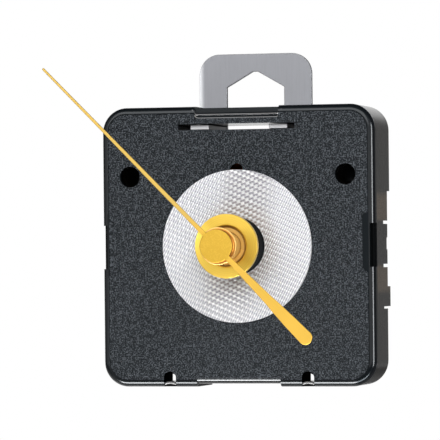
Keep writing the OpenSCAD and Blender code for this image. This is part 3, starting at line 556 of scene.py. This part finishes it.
# Painted brown reflection on the flanks, in a band of heights beside the latches.
height = maths(tree, "ABSOLUTE", maths(tree, "SUBTRACT", z, LATCH_MIDDLE))
shade = maths(tree, "SUBTRACT", ramp(tree, height, *LATCH_END, 0.0, 1.0),
              ramp(tree, height, *BROWN_REFLECTION_END, 0.0, 1.0))
flank = maths(tree, "GREATER_THAN", maths(tree, "ABSOLUTE", x), FLANK_X)
tone = mixed(tree, tone, colour(27, 25, 21), colour(34, 31, 27))
tone = mixed(tree, maths(tree, "MULTIPLY", shade, flank), tone, colour(84, 71, 56))
# Painted black shade behind the seam.
tone = mixed(tree, maths(tree, "LESS_THAN", y, SEAM_Y), tone, colour(2, 2, 2))
wire(tree, shader.inputs, {"Base Color": tone, "Roughness": rough, "Normal": relief})

# %% [markdown]
# On the front shell the grain fills the panel and stops at the step line, which is cut into the
# relief. The sunk rest on the left counts as panel too. Gloss is a coat on the rounded rim and on
# the lip of the bottom notch. It fades on the top rim and in the lower right corner, and leaves
# out the edges of the two peep notches. The collar, which stands out in front, is dull, and its
# near-black colour is painted shade behind the nut.

# %% The front shell
PANEL_HALF, PANEL_CORNER = 26.62 * MM, 3.7 * MM
LINE_WIDTH = 0.16 * MM
PIT_DEPTH, LINE_DEPTH_IN_PITS = 0.14 * MM, 2.0
PANEL_ROUGH, COLLAR_ROUGH = 0.5, 0.9
FACE_DEPTH = 0.02 * MM
LEFT_REST_X, LEFT_REST_DEPTH = -25 * MM, 0.16 * MM
RIM_GLOSS, TOP_RIM_GLOSS, LIP_GLOSS = 0.5, 0.32, 0.9
TOP_FADE = (20 * MM, 26 * MM)
CORNER_FADE = (23.6 * MM, 24.6 * MM)
NOTCH_X, NOTCH_Z, NOTCH_EDGE = 14.2 * MM, -26.2 * MM, 1.36 * MM
LIP_HALF = 8.6 * MM
case_front, tree, shader, place, _, rough, relief = plain_plastic("front plastic", 0.14)
grain = place_group(tree, grain_group, Vector=place, Size=0.29 * MM)
x, y, z = split(tree, place)
aside = maths(tree, "ABSOLUTE", x)
left_rest = maths(tree, "LESS_THAN", x, LEFT_REST_X)
face = maths(tree, "LESS_THAN", y, maths(
    tree, "MULTIPLY_ADD", left_rest, LEFT_REST_DEPTH, FACE_DEPTH))
behind_front = maths(tree, "GREATER_THAN", y, -FACE_DEPTH)
panel = inside_square(tree, x, z, PANEL_HALF, PANEL_CORNER)
textured = maths(tree, "MULTIPLY", maths(tree, "MULTIPLY", panel, face), behind_front)
wide = inside_square(tree, x, z, PANEL_HALF + LINE_WIDTH, PANEL_CORNER + LINE_WIDTH)
step_line = maths(tree, "SUBTRACT", maths(tree, "MULTIPLY", wide, face), textured, clamp=True)
pits = maths(tree, "MULTIPLY", grain["Height"], textured)
relief = add_node(tree, "ShaderNodeBump", {
    "Height": maths(tree, "MULTIPLY_ADD", step_line, -LINE_DEPTH_IN_PITS, pits),
    "Strength": 1.0, "Distance": PIT_DEPTH, "Normal": relief}).outputs[0]
rim = maths(tree, "MULTIPLY", maths(tree, "SUBTRACT", 1.0, wide),
            ramp(tree, z, *TOP_FADE, RIM_GLOSS, TOP_RIM_GLOSS))
in_corner = maths(tree, "MINIMUM", x, maths(tree, "MULTIPLY", z, -1.0))
rim = maths(tree, "MULTIPLY", rim, ramp(tree, in_corner, *CORNER_FADE, 1.0, 0.0))
lip = maths(tree, "MULTIPLY", maths(tree, "LESS_THAN", z, NOTCH_Z),
            maths(tree, "LESS_THAN", aside, LIP_HALF))
from_notch = from_axis(
    tree, maths(tree, "SUBTRACT", aside, NOTCH_X), maths(tree, "SUBTRACT", z, NOTCH_Z))
off_notch = maths(tree, "GREATER_THAN", from_notch, NOTCH_EDGE)
gloss = maths(tree, "MULTIPLY", maths(tree, "MULTIPLY_ADD", lip, LIP_GLOSS, rim), off_notch)
off_collar = maths(tree, "SUBTRACT", 1.0, maths(
    tree, "MULTIPLY", face, maths(tree, "SUBTRACT", 1.0, behind_front)))
speckle = mixed(tree, grain["Tone"], colour(0, 1, 3), colour(82, 86, 91))
tone = mixed(tree, textured, colour(14, 18, 21), speckle)
rough = blended(tree, off_collar, COLLAR_ROUGH, blended(tree, textured, rough, PANEL_ROUGH))
# Painted shade: the collar in front, behind the nut, is near black.
tone = mixed(tree, off_collar, colour(2, 2, 2), tone)
gloss = maths(tree, "MULTIPLY", gloss, off_collar, clamp=True)
wire(tree, shader.inputs, {
    "Base Color": tone, "Roughness": rough, "Normal": relief, "Coat Weight": gloss})

# %% [markdown]
# Two more finishes belong to the housing: the polished lips that draw bright lines, and the black
# of what stands in the peep notches, which mirrors nothing. That near black, darker than the rear
# shell's plastic, is painted shade.

# %% The lips' and the pegs' finish
polished = finish("polished lip", colour(8, 10, 12), colour(12, 14, 16), grain_group,
                  2.5 * MM, 0.004 * MM, 0.16, 0.05, **{"Specular IOR Level": 1.0})
# Painted shade: near black, darker than the rear shell, and mirroring nothing.
notch_shade_black = finish("notch shade black", colour(2, 2, 2), colour(4, 4, 4), grain_group,
                    2.5 * MM, 0.004 * MM, 0.4, 0.05, IOR=1.0)
print("housing finishes:", case_front.name, case_rear.name, polished.name, notch_shade_black.name)

# %% [markdown]
# A moulded or pressed part never has knife edges. A copy of the CAD mesh is merged, its flat faces
# are joined again, and a Bevel modifier then rounds each sharp edge by a fraction of a millimetre,
# so that edges catch light. Weighted normals keep the large faces flat. Drawing such pieces again
# from nothing would be slower and could leave the CAD shape, so the copy is the safer way.


# %% Softened copies of CAD parts
MERGE_DISTANCE = 0.002 * MM
FLAT_ANGLE = math.radians(0.6)


def to_mesh(piece):
    """The evaluated shape as a plain mesh, with no modifier left."""
    mesh = bpy.data.meshes.new_from_object(
        piece.evaluated_get(bpy.context.evaluated_depsgraph_get()))
    piece.modifiers.clear()
    piece.data = mesh
    return piece


def new_piece(name, mesh, material):
    """An object at the origin that wears one material."""
    mesh.materials.clear()
    mesh.materials.append(material)
    made = bpy.data.objects.new(name, mesh)
    bpy.context.scene.collection.objects.link(made)
    return made


def settle(piece, body, slot, *replaced):
    """Seats a finished piece on its body, in place of its CAD nodes. The slot is not used."""
    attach(piece, body)
    if replaced:
        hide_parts(*replaced)
    print(piece.name, "faces:", len(piece.data.polygons))
    return piece


def softened(name, node, material, edge, segments=2, sharp=40):
    """A merged copy of a CAD node with rounded edges."""
    mesh = nodes[node].data.copy()
    shape = bmesh.new()
    shape.from_mesh(mesh)
    bmesh.ops.remove_doubles(shape, verts=shape.verts, dist=MERGE_DISTANCE)
    bmesh.ops.dissolve_limit(
        shape, angle_limit=FLAT_ANGLE, verts=shape.verts, edges=shape.edges)
    for face in shape.faces:
        face.smooth = True
    shape.to_mesh(mesh)
    shape.free()
    mesh.set_sharp_from_angle(angle=math.radians(sharp))
    piece = new_piece(name, mesh, material)
    bevel = piece.modifiers.new("rounded edges", "BEVEL")
    bevel.width = edge
    bevel.segments = segments
    bevel.limit_method = "ANGLE"
    bevel.angle_limit = math.radians(sharp)
    bevel.harden_normals = True
    weighted = piece.modifiers.new("flat faces", "WEIGHTED_NORMAL")
    weighted.keep_sharp = True
    return to_mesh(piece)


for name, node, body, slot, material, edge, segments in (
    ("front_shell", "front_cover", "case", "case_plastic", case_front, 0.07, 2),
    ("rear_shell", "rear_case", "case", "rear_plastic", case_rear, 0.07, 2),
    ("hanger_plate", "hanger", "case", "hanger_steel", hanger_steel, 0.12, 3),
    ("hand_stamping", "seconds_hand", "seconds", "hand_gold", gold_hand, 0.1, 3),
    ("knob", "setting_knob", "setting", "rear_plastic", knob_plastic, 0.06, 2),
):
    settle(softened(name, node, material, edge * MM, segments), body, slot, node)

# %% [markdown]
# Two soft steps run along the top edge, where a fingertip opens the case. Their rounded lips end in
# small curves and catch the front lamp as two bright lines. Each lip follows a path, so Geometry
# Nodes sweep a thin round profile along a curve that is drawn with a few points.


# %% A helper for Geometry Nodes
def new_shape_tree(name, sizes):
    """A Geometry Nodes tree with a geometry input and output and named sizes."""
    tree = bpy.data.node_groups.new(name, "GeometryNodeTree")
    tree.interface.new_socket("Geometry", in_out="INPUT", socket_type="NodeSocketGeometry")
    for key, value in sizes.items():
        made = tree.interface.new_socket(key, in_out="INPUT", socket_type="NodeSocketFloat")
        made.default_value = value
    tree.interface.new_socket("Geometry", in_out="OUTPUT", socket_type="NodeSocketGeometry")
    return tree, tree.nodes.new("NodeGroupInput").outputs, tree.nodes.new("NodeGroupOutput").inputs


def run_tree(piece, tree, sizes):
    """Gives the tree its sizes by their identifiers, and turns the result into a plain mesh."""
    made = piece.modifiers.new(tree.name, "NODES")
    made.node_group = tree
    for item in tree.interface.items_tree:
        if item.in_out == "INPUT" and item.name in sizes:
            made[item.identifier] = sizes[item.name]
    return to_mesh(piece)


def finish_tree(tree, shape, material, out):
    """Ends a tree in Realize Instances and Set Material."""
    real = add_node(tree, "GeometryNodeRealizeInstances", {0: shape}).outputs[0]
    painted = add_node(tree, "GeometryNodeSetMaterial", {
        "Geometry": real, "Material": material}).outputs[0]
    wire(tree, out, {"Geometry": painted})


# %% The lips of the top notch
LIP_RADIUS = 0.34
lip_tree, given, out = new_shape_tree("swept lip", {"Radius": LIP_RADIUS * MM})
line = add_node(lip_tree, "GeometryNodeMeshToCurve", {0: given["Geometry"]}).outputs[0]
smooth = add_node(lip_tree, "GeometryNodeCurveSplineType", {0: line}, spline_type="CATMULL_ROM")
fine = add_node(lip_tree, "GeometryNodeResampleCurve", {"Curve": smooth.outputs[0], "Count": 90})
ring = add_node(lip_tree, "GeometryNodeCurvePrimitiveCircle", {
    "Resolution": 10, "Radius": given["Radius"]}).outputs[0]
swept = add_node(lip_tree, "GeometryNodeCurveToMesh", {
    "Curve": fine.outputs[0], "Profile Curve": ring, "Fill Caps": True}).outputs[0]
soft = add_node(lip_tree, "GeometryNodeSetShadeSmooth", {0: swept}).outputs[0]
finish_tree(lip_tree, soft, polished, out)

LIP_PATHS = {
    "upper_lip": [(-9.15, 0.4, 27.3), (-8.85, 0.4, 26.9), (-8.5, 0.45, 26.5), (-8.1, 0.6, 26.34),
                  (-7.0, 0.6, 26.33), (0, 0.6, 26.33), (7.4, 0.6, 26.33), (8.3, 0.6, 26.4),
                  (8.9, 0.4, 26.8), (9.3, 0.4, 27.2)],
    "lower_lip": [(-8.8, 0.36, 26.3), (-8.5, 0.36, 25.95), (-8.0, 0.36, 25.66), (-7.0, 0.36, 25.62),
                  (0, 0.36, 25.62), (7.6, 0.36, 25.62), (8.5, 0.36, 25.74), (9.0, 0.36, 26.1)],
}


def swept_line(name, points, radius, material):
    """A thin round bar of case plastic along a path in millimetres."""
    mesh = bpy.data.meshes.new(name)
    mesh.from_pydata([Vector(p) * MM for p in points],
                     [(i, i + 1) for i in range(len(points) - 1)], [])
    piece = run_tree(new_piece(name, mesh, material), lip_tree, {"Radius": radius * MM})
    piece.data.materials.clear()
    piece.data.materials.append(material)
    settle(piece, "case", "case_plastic")


for name, points in LIP_PATHS.items():
    swept_line(name, points, LIP_RADIUS, polished)

# %% [markdown]
# A small hooked peg of the rear shell shows in each of the two peep notches in the bottom edge. It
# fills the left part of the notch, and light from behind passes on its right. The peg is painted
# near black as shade in the notch. The foot under it is polished and draws one glint.

# %% The pegs in the peep notches
PEG_PATH = [(-0.8, 0.9, -27.7), (-0.9, 0.9, -27.0), (-0.85, 0.9, -26.2), (-0.6, 0.9, -25.5),
            (0.0, 0.9, -25.05), (0.7, 0.9, -25.0), (1.3, 0.9, -25.35)]
CORE_PATH = [(-0.1, 0.9, -27.6), (-0.1, 0.9, -26.6), (-0.1, 0.9, -25.4)]
FOOT_PATH = [(-1.1, 0.5, -27.4), (-0.4, 0.45, -27.2), (0.4, 0.45, -27.2), (1.2, 0.5, -27.4)]
for end, sign in (("_left", -1), ("_right", 1)):
    middle = sign * NOTCH_X / MM
    # The pegs wear the painted-shade black.
    for name, path, radius, material in (("peg", PEG_PATH, 0.5, notch_shade_black),
                                         ("peg_core", CORE_PATH, 0.5, notch_shade_black),
                                         ("peg_foot", FOOT_PATH, 0.36, polished)):
        swept_line(name + end, [(middle + x, y, z) for x, y, z in path], radius, material)

# %% [markdown]
# Round parts are turned on a lathe, so they are made the same way here: a profile of radii and
# depths is carried round the hands' axis. The nut, the hub and the hour pipe get small chamfers
# and rounded corners that the simple CAD solids leave out.


# %% Turned parts
def turned(name, profile, material, around=128, sharp=35):
    """A closed profile of (radius, depth) points, in millimetres, swept round the axis."""
    shape = bmesh.new()
    rings = []
    for radius, depth in profile:
        rings.append([
            shape.verts.new((
                radius * MM * math.cos(2 * math.pi * k / around), depth * MM,
                radius * MM * math.sin(2 * math.pi * k / around)))
            for k in range(around)
        ])
    for i, ring in enumerate(rings):
        following = rings[(i + 1) % len(rings)]
        for k in range(around):
            n = (k + 1) % around
            shape.faces.new((ring[k], ring[n], following[n], following[k])).smooth = True
    bmesh.ops.recalc_face_normals(shape, faces=shape.faces)
    mesh = bpy.data.meshes.new(name)
    shape.to_mesh(mesh)
    shape.free()
    mesh.set_sharp_from_angle(angle=math.radians(sharp))
    piece = new_piece(name, mesh, material)
    weighted = piece.modifiers.new("flat faces", "WEIGHTED_NORMAL")
    weighted.keep_sharp = True
    return to_mesh(piece)


def bounds_mm(node):
    """A node's lowest and highest corner in millimetres."""
    low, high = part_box(node)
    return low / MM, high / MM


def rounded(radius, depth, out, along, size, steps=3):
    """Points round one corner: out and along say where the metal lies, as signs."""
    points = []
    for i in range(steps + 1):
        angle = math.pi / 2 * i / steps
        points.append((
            radius - out * size * (1 - math.cos(angle)),
            depth + along * size * (1 - math.sin(angle))))
    return points


def sleeve(name, node, bore, material, corner=0.12, mouth=0.1):
    """A tube with the length and width of a CAD node, rounded outside and chamfered inside."""
    low, high = bounds_mm(node)
    outer = high[0]
    return turned(name, [
        (bore, low[1] + mouth), (bore + mouth, low[1]),
        *reversed(rounded(outer, low[1], 1, 1, corner)),
        *rounded(outer, high[1], 1, -1, corner),
        (bore + mouth, high[1]), (bore, high[1] - mouth),
    ], material)


RUNNING_GAP = 0.05
HOUR_BORE = 1.8
neck_low, neck_high = bounds_mm("threaded_neck")
NECK_RADIUS = 4.0
NUT_BORE = NECK_RADIUS + RUNNING_GAP
nut = settle(sleeve("nut", "dial_nut", NUT_BORE, brass_nut, mouth=0.22), "nut", "brass",
             "dial_nut")
turned_faces = bpy.data.collections.new("turned faces")
turned_faces.objects.link(nut)
fan_lamp.light_linking.receiver_collection = turned_faces
settle(sleeve("hour_tube", "hour_pipe", HOUR_BORE, pipe_brass), "hour", "pipe_brass", "hour_pipe")

hub_low, hub_high = bounds_mm("seconds_hub")
LIP, BARREL, LIP_THICK, HUB_BORE = hub_high[0], 3.12, 0.35, 0.55
settle(turned("hub", [
    (HUB_BORE, hub_low[1]), *reversed(rounded(BARREL, hub_low[1], 1, 1, 0.08)),
    (BARREL, hub_high[1] - LIP_THICK - 0.1), (BARREL + 0.1, hub_high[1] - LIP_THICK),
    *reversed(rounded(LIP, hub_high[1] - LIP_THICK, 1, 1, 0.1)),
    *rounded(LIP, hub_high[1], 1, -1, 0.1), (HUB_BORE, hub_high[1]),
], hub_copper), "seconds", "hub_copper", "seconds_hub")

# %% [markdown]
# The neck carries a fine thread, one ridge that follows a helix. Geometry Nodes shape it from a
# tube of many small faces: how far a point lies along the tube and round it says where it is on the
# ridge, and so how far out it moves. The ridge runs out at both ends of the neck, its crest stays
# at the CAD solid's radius, and the plain core is joined to it.

# %% The threaded neck
THREAD_PITCH = 0.75
THREAD_DEPTH = 0.42
CREST_SHARE = 1.15
RUN_OUT_STEEPNESS = 12.0
COLLAR_HEIGHT = 3.7
CHAMFER = 0.15

thread_sizes = {"Pitch": THREAD_PITCH * MM, "Depth": THREAD_DEPTH * MM,
                "Crest radius": NECK_RADIUS * MM, "Front": (neck_low[1] + CHAMFER) * MM,
                "Length": (-COLLAR_HEIGHT - neck_low[1] - CHAMFER) * MM}
tree, given, out = new_shape_tree("thread", thread_sizes)
skin = add_node(tree, "GeometryNodeMeshCylinder", {
    "Vertices": 96, "Side Segments": 90, "Radius": 1.0, "Depth": 1.0}, fill_type="NONE")
x, y, z = split(tree, add_node(tree, "GeometryNodeInputPosition").outputs[0])
share = maths(tree, "ADD", z, 0.5)
depth_in = maths(tree, "MULTIPLY", share, given["Length"])
turned_by = maths(tree, "DIVIDE", maths(tree, "ARCTAN2", y, x), 2 * math.pi)
phase = maths(tree, "ADD", maths(tree, "DIVIDE", depth_in, given["Pitch"]), turned_by)
ridge = maths(tree, "ABSOLUTE", maths(
    tree, "MULTIPLY_ADD", maths(tree, "FRACT", phase), 2.0, -1.0))
ridge = maths(tree, "MULTIPLY", ridge, CREST_SHARE, clamp=True)
edge = maths(tree, "MINIMUM", share, maths(tree, "SUBTRACT", 1.0, share))
run_out = maths(tree, "MULTIPLY", edge, RUN_OUT_STEEPNESS, clamp=True)
valley = maths(tree, "SUBTRACT", 1.0, maths(tree, "MULTIPLY", ridge, run_out))
radius = maths(tree, "SUBTRACT", given["Crest radius"],
               maths(tree, "MULTIPLY", valley, given["Depth"]))
moved = combined(
    tree, maths(tree, "MULTIPLY", x, radius), maths(tree, "ADD", given["Front"], depth_in),
    maths(tree, "MULTIPLY", y, radius))
skin = add_node(tree, "GeometryNodeSetPosition", {
    "Geometry": skin.outputs["Mesh"], "Position": moved})
facing = add_node(tree, "GeometryNodeFlipFaces", {0: skin.outputs[0]}).outputs[0]
smooth = add_node(tree, "GeometryNodeSetShadeSmooth", {0: facing}).outputs[0]
joined = add_node(tree, "GeometryNodeJoinGeometry")
tree.links.new(given["Geometry"], joined.inputs[0])
tree.links.new(smooth, joined.inputs[0])
finish_tree(tree, joined.outputs[0], brass_neck, out)

ROOT_RADIUS = NECK_RADIUS - THREAD_DEPTH + 0.03
NECK_BORE, FLANGE_FRONT = 2.8, 0.4
SHANK_FRONT = -COLLAR_HEIGHT + 0.02
core = turned("neck", [
    (NECK_BORE, neck_low[1] + CHAMFER), (NECK_BORE + CHAMFER, neck_low[1]),
    (ROOT_RADIUS, neck_low[1]), (ROOT_RADIUS, SHANK_FRONT),
    (NECK_RADIUS, SHANK_FRONT), (NECK_RADIUS, FLANGE_FRONT),
    (neck_high[0], FLANGE_FRONT), (neck_high[0], neck_high[1]), (NECK_BORE, neck_high[1]),
], brass_neck)
settle(run_tree(core, tree, thread_sizes), "case", "brass", "threaded_neck")

# %% [markdown]
# The disc is a ring of white foam with a peel-off liner. The liner is pressed with small bumps in
# slanted rows, and a thin ridge runs along the middle between two rows. Hundreds of shapes that
# follow a rule are work for Geometry Nodes: a grid of points becomes the slanted lattice, the
# points outside the ring are taken away, and a low bump or ridge is placed on each of the rest.

# %% The sticky disc
pad_low, pad_high = bounds_mm("adhesive_pad")
liner_low, liner_high = bounds_mm("pad_liner")
DISC_HOLE = 5.75
ring_outer = pad_high[0]
settle(turned("foam_ring", [
    (DISC_HOLE, pad_low[1]), (ring_outer, pad_low[1]), (ring_outer - 0.04, pad_low[1] / 2),
    (ring_outer, pad_high[1]), (DISC_HOLE, pad_high[1]),
], foam_white), "case", "foam", "adhesive_pad")

LINER_RELIEF = 0.17
INNER_MARGIN, OUTER_MARGIN = 0.45, 0.3
RIDGE_MARGIN = 0.2 * MM
RIDGE_LENGTH_SHARE, RIDGE_HEIGHT_SHARE = 0.56, 0.6
GRID_SPAN_IN_RADII = 3.4
bump_sizes = {"Pitch": ROW_PITCH, "Row angle": ROW_ANGLE, "Row step": ROW_STEP,
              "Row shift": ROW_SHIFT, "Bump width": 0.4 * MM, "Bump length": 0.28 * MM,
              "Ridge width": 0.12 * MM, "Bump height": LINER_RELIEF * MM,
              "Inner radius": (DISC_HOLE + INNER_MARGIN) * MM,
              "Outer radius": (ring_outer - OUTER_MARGIN) * MM,
              "Front": (liner_low[1] + LINER_RELIEF) * MM}
tree, given, out = new_shape_tree("embossed bumps", bump_sizes)
span = maths(tree, "MULTIPLY", given["Outer radius"], GRID_SPAN_IN_RADII)
count = maths(tree, "DIVIDE", span, given["Pitch"])
steps = maths(tree, "SUBTRACT", count, 1.0)
grid = add_node(tree, "GeometryNodeMeshGrid", {
    "Size X": steps, "Size Y": steps, "Vertices X": count, "Vertices Y": count}).outputs["Mesh"]
i, j, _ = split(tree, add_node(tree, "GeometryNodeInputPosition").outputs[0])
along = maths(tree, "MULTIPLY", i, given["Pitch"])
across = maths(tree, "MULTIPLY", along, maths(tree, "COSINE", given["Row angle"]))
rise = maths(tree, "MULTIPLY", along, maths(tree, "SINE", given["Row angle"]))
lattice = combined(
    tree, maths(tree, "MULTIPLY_ADD", j, given["Row shift"], across), given["Front"],
    maths(tree, "MULTIPLY_ADD", j, given["Row step"], rise))
stood = add_node(tree, "GeometryNodeSetPosition", {
    "Geometry": grid, "Position": lattice}).outputs[0]
x, _, z = split(tree, add_node(tree, "GeometryNodeInputPosition").outputs[0])
far = from_axis(tree, x, z)


def within_ring(points, margin):
    """The points that keep a distance from both edges of the ring."""
    inner = maths(tree, "ADD", given["Inner radius"], margin)
    outer = maths(tree, "SUBTRACT", given["Outer radius"], margin)
    outside = maths(tree, "MAXIMUM", maths(tree, "LESS_THAN", far, inner),
                    maths(tree, "GREATER_THAN", far, outer))
    return add_node(tree, "GeometryNodeDeleteGeometry", {
        "Geometry": points, "Selection": outside}, domain="POINT").outputs[0]


bump = add_node(tree, "GeometryNodeMeshUVSphere", {
    "Segments": 8, "Rings": 5, "Radius": 1.0}).outputs["Mesh"]
squeeze = combined(tree, given["Bump width"], given["Bump height"], given["Bump length"])
along_row = combined(tree, y=maths(tree, "MULTIPLY", given["Row angle"], -1.0))
low_bump = add_node(tree, "GeometryNodeTransform", {
    "Geometry": bump, "Rotation": along_row, "Scale": squeeze}).outputs[0]
half_way = combined(tree, maths(tree, "MULTIPLY", given["Row shift"], 0.5),
                    z=maths(tree, "MULTIPLY", given["Row step"], 0.5))
thin = combined(
    tree, maths(tree, "MULTIPLY", given["Pitch"], RIDGE_LENGTH_SHARE),
    maths(tree, "MULTIPLY", given["Bump height"], RIDGE_HEIGHT_SHARE), given["Ridge width"])
ridge = add_node(tree, "GeometryNodeTransform", {
    "Geometry": bump, "Rotation": along_row, "Scale": thin}).outputs[0]
between = add_node(tree, "GeometryNodeSetPosition", {
    "Geometry": stood, "Offset": half_way}).outputs[0]
joined = add_node(tree, "GeometryNodeJoinGeometry")
tree.links.new(given["Geometry"], joined.inputs[0])
for points, shape in (
    (within_ring(stood, 0.0), low_bump), (within_ring(between, RIDGE_MARGIN), ridge),
):
    shape = add_node(tree, "GeometryNodeSetShadeSmooth", {0: shape}).outputs[0]
    placed = add_node(tree, "GeometryNodeInstanceOnPoints", {
        "Points": points, "Instance": shape}).outputs[0]
    tree.links.new(placed, joined.inputs[0])
finish_tree(tree, joined.outputs[0], liner_white, out)

liner_front = liner_low[1] + LINER_RELIEF
sheet = turned("liner_ring", [
    (DISC_HOLE, liner_front), (ring_outer, liner_front), (ring_outer, liner_high[1]),
    (DISC_HOLE, liner_high[1]),
], liner_white)
settle(run_tree(sheet, tree, bump_sizes), "case", "liner", "pad_liner")

# %% [markdown]
# The cell bay shows from behind. Its contacts are nickel-plated strip, and a bowed leaf presses on
# the cell's flat end. They keep their CAD shapes, with the edges that a press tool rounds, and so
# does the minute pipe with its leaves.

# %% The contacts and the minute pipe
for name, node, edge in (
    ("plus_contact", "positive_contact", 0.05), ("minus_contact", "negative_contact", 0.05),
    ("leaf_spring", "cell_spring", 0.04),
):
    settle(softened(name, node, nickel, edge * MM), "case", "contact_metal", node)
settle(softened("minute_tube", "minute_pipe", pipe_brass, 0.06 * MM), "centre",
       "pipe_brass", "minute_pipe")

# %% [markdown]
# The parts inside the housing stay as the CAD made them. They are hidden in most views, but a
# reader who opens the model finds each in its own material: white nylon wheels, steel pins, a
# copper winding, soft iron, a green board.

# %% Materials for the inner parts
WIRE_PITCH = 0.12 * MM
copper_wire, tree, shader = new_material("copper winding", Metallic=1.0)
place = own_place(tree)
along = split(tree, place)[0]
# Painted light and shade: the turns' crests are lighter and the grooves between them darker, along
# with the bump.
turns = maths(tree, "SINE", maths(tree, "MULTIPLY", along, 2 * math.pi / WIRE_PITCH))
shade = maths(tree, "MULTIPLY_ADD", turns, 0.5, 0.5)
wire_tone = mixed(tree, shade, colour(120, 56, 28), colour(196, 104, 58))
relief = add_node(tree, "ShaderNodeBump", {
    "Height": shade, "Strength": 0.7, "Distance": WIRE_PITCH / 3}).outputs[0]
marks = place_group(tree, marks_group, Vector=place, Base=0.35, Amount=0.1)
wire(tree, shader.inputs, {
    "Base Color": wire_tone, "Roughness": marks["Roughness"], "Normal": relief})

board_green, tree, shader = new_material("board green")
place = own_place(tree)
tracks = add_node(tree, "ShaderNodeTexVoronoi", {
    "Vector": place, "Scale": 700.0, "Randomness": 0.6}, distance="MANHATTAN", feature="F1")
copper_mask = maths(tree, "GREATER_THAN", tracks.outputs["Distance"], 0.55)
board_tone = mixed(tree, copper_mask, colour(20, 84, 48), colour(44, 122, 70))
marks = place_group(tree, marks_group, Vector=place, Base=0.35, Amount=0.1)
wire(tree, shader.inputs, {"Base Color": board_tone, "Roughness": marks["Roughness"]})

inner_finishes = {
    nylon: ("fifth_wheel", "seconds_wheel", "third_wheel", "centre_wheel", "motion_wheel",
            "hour_wheel", "rotor_pinion", "setting_pinion", "coil_bobbin"),
    plate_nylon: ("middle_plate",),
    bright_steel: ("third_pin", "fifth_pin", "motion_pin", "rotor_shaft", "seconds_shaft",
                   "quartz_crystal"),
    soft_iron: ("coil_core", "stator"),
    copper_wire: ("coil_winding",),
    magnet_black: ("rotor_magnet",),
    epoxy_black: ("chip_cover",),
    board_green: ("circuit_board",),
}
for material, names in inner_finishes.items():
    for name in names:
        nodes[name].data.materials.clear()
        nodes[name].data.materials.append(material)
print("inner parts:", sum(len(names) for names in inner_finishes.values()))
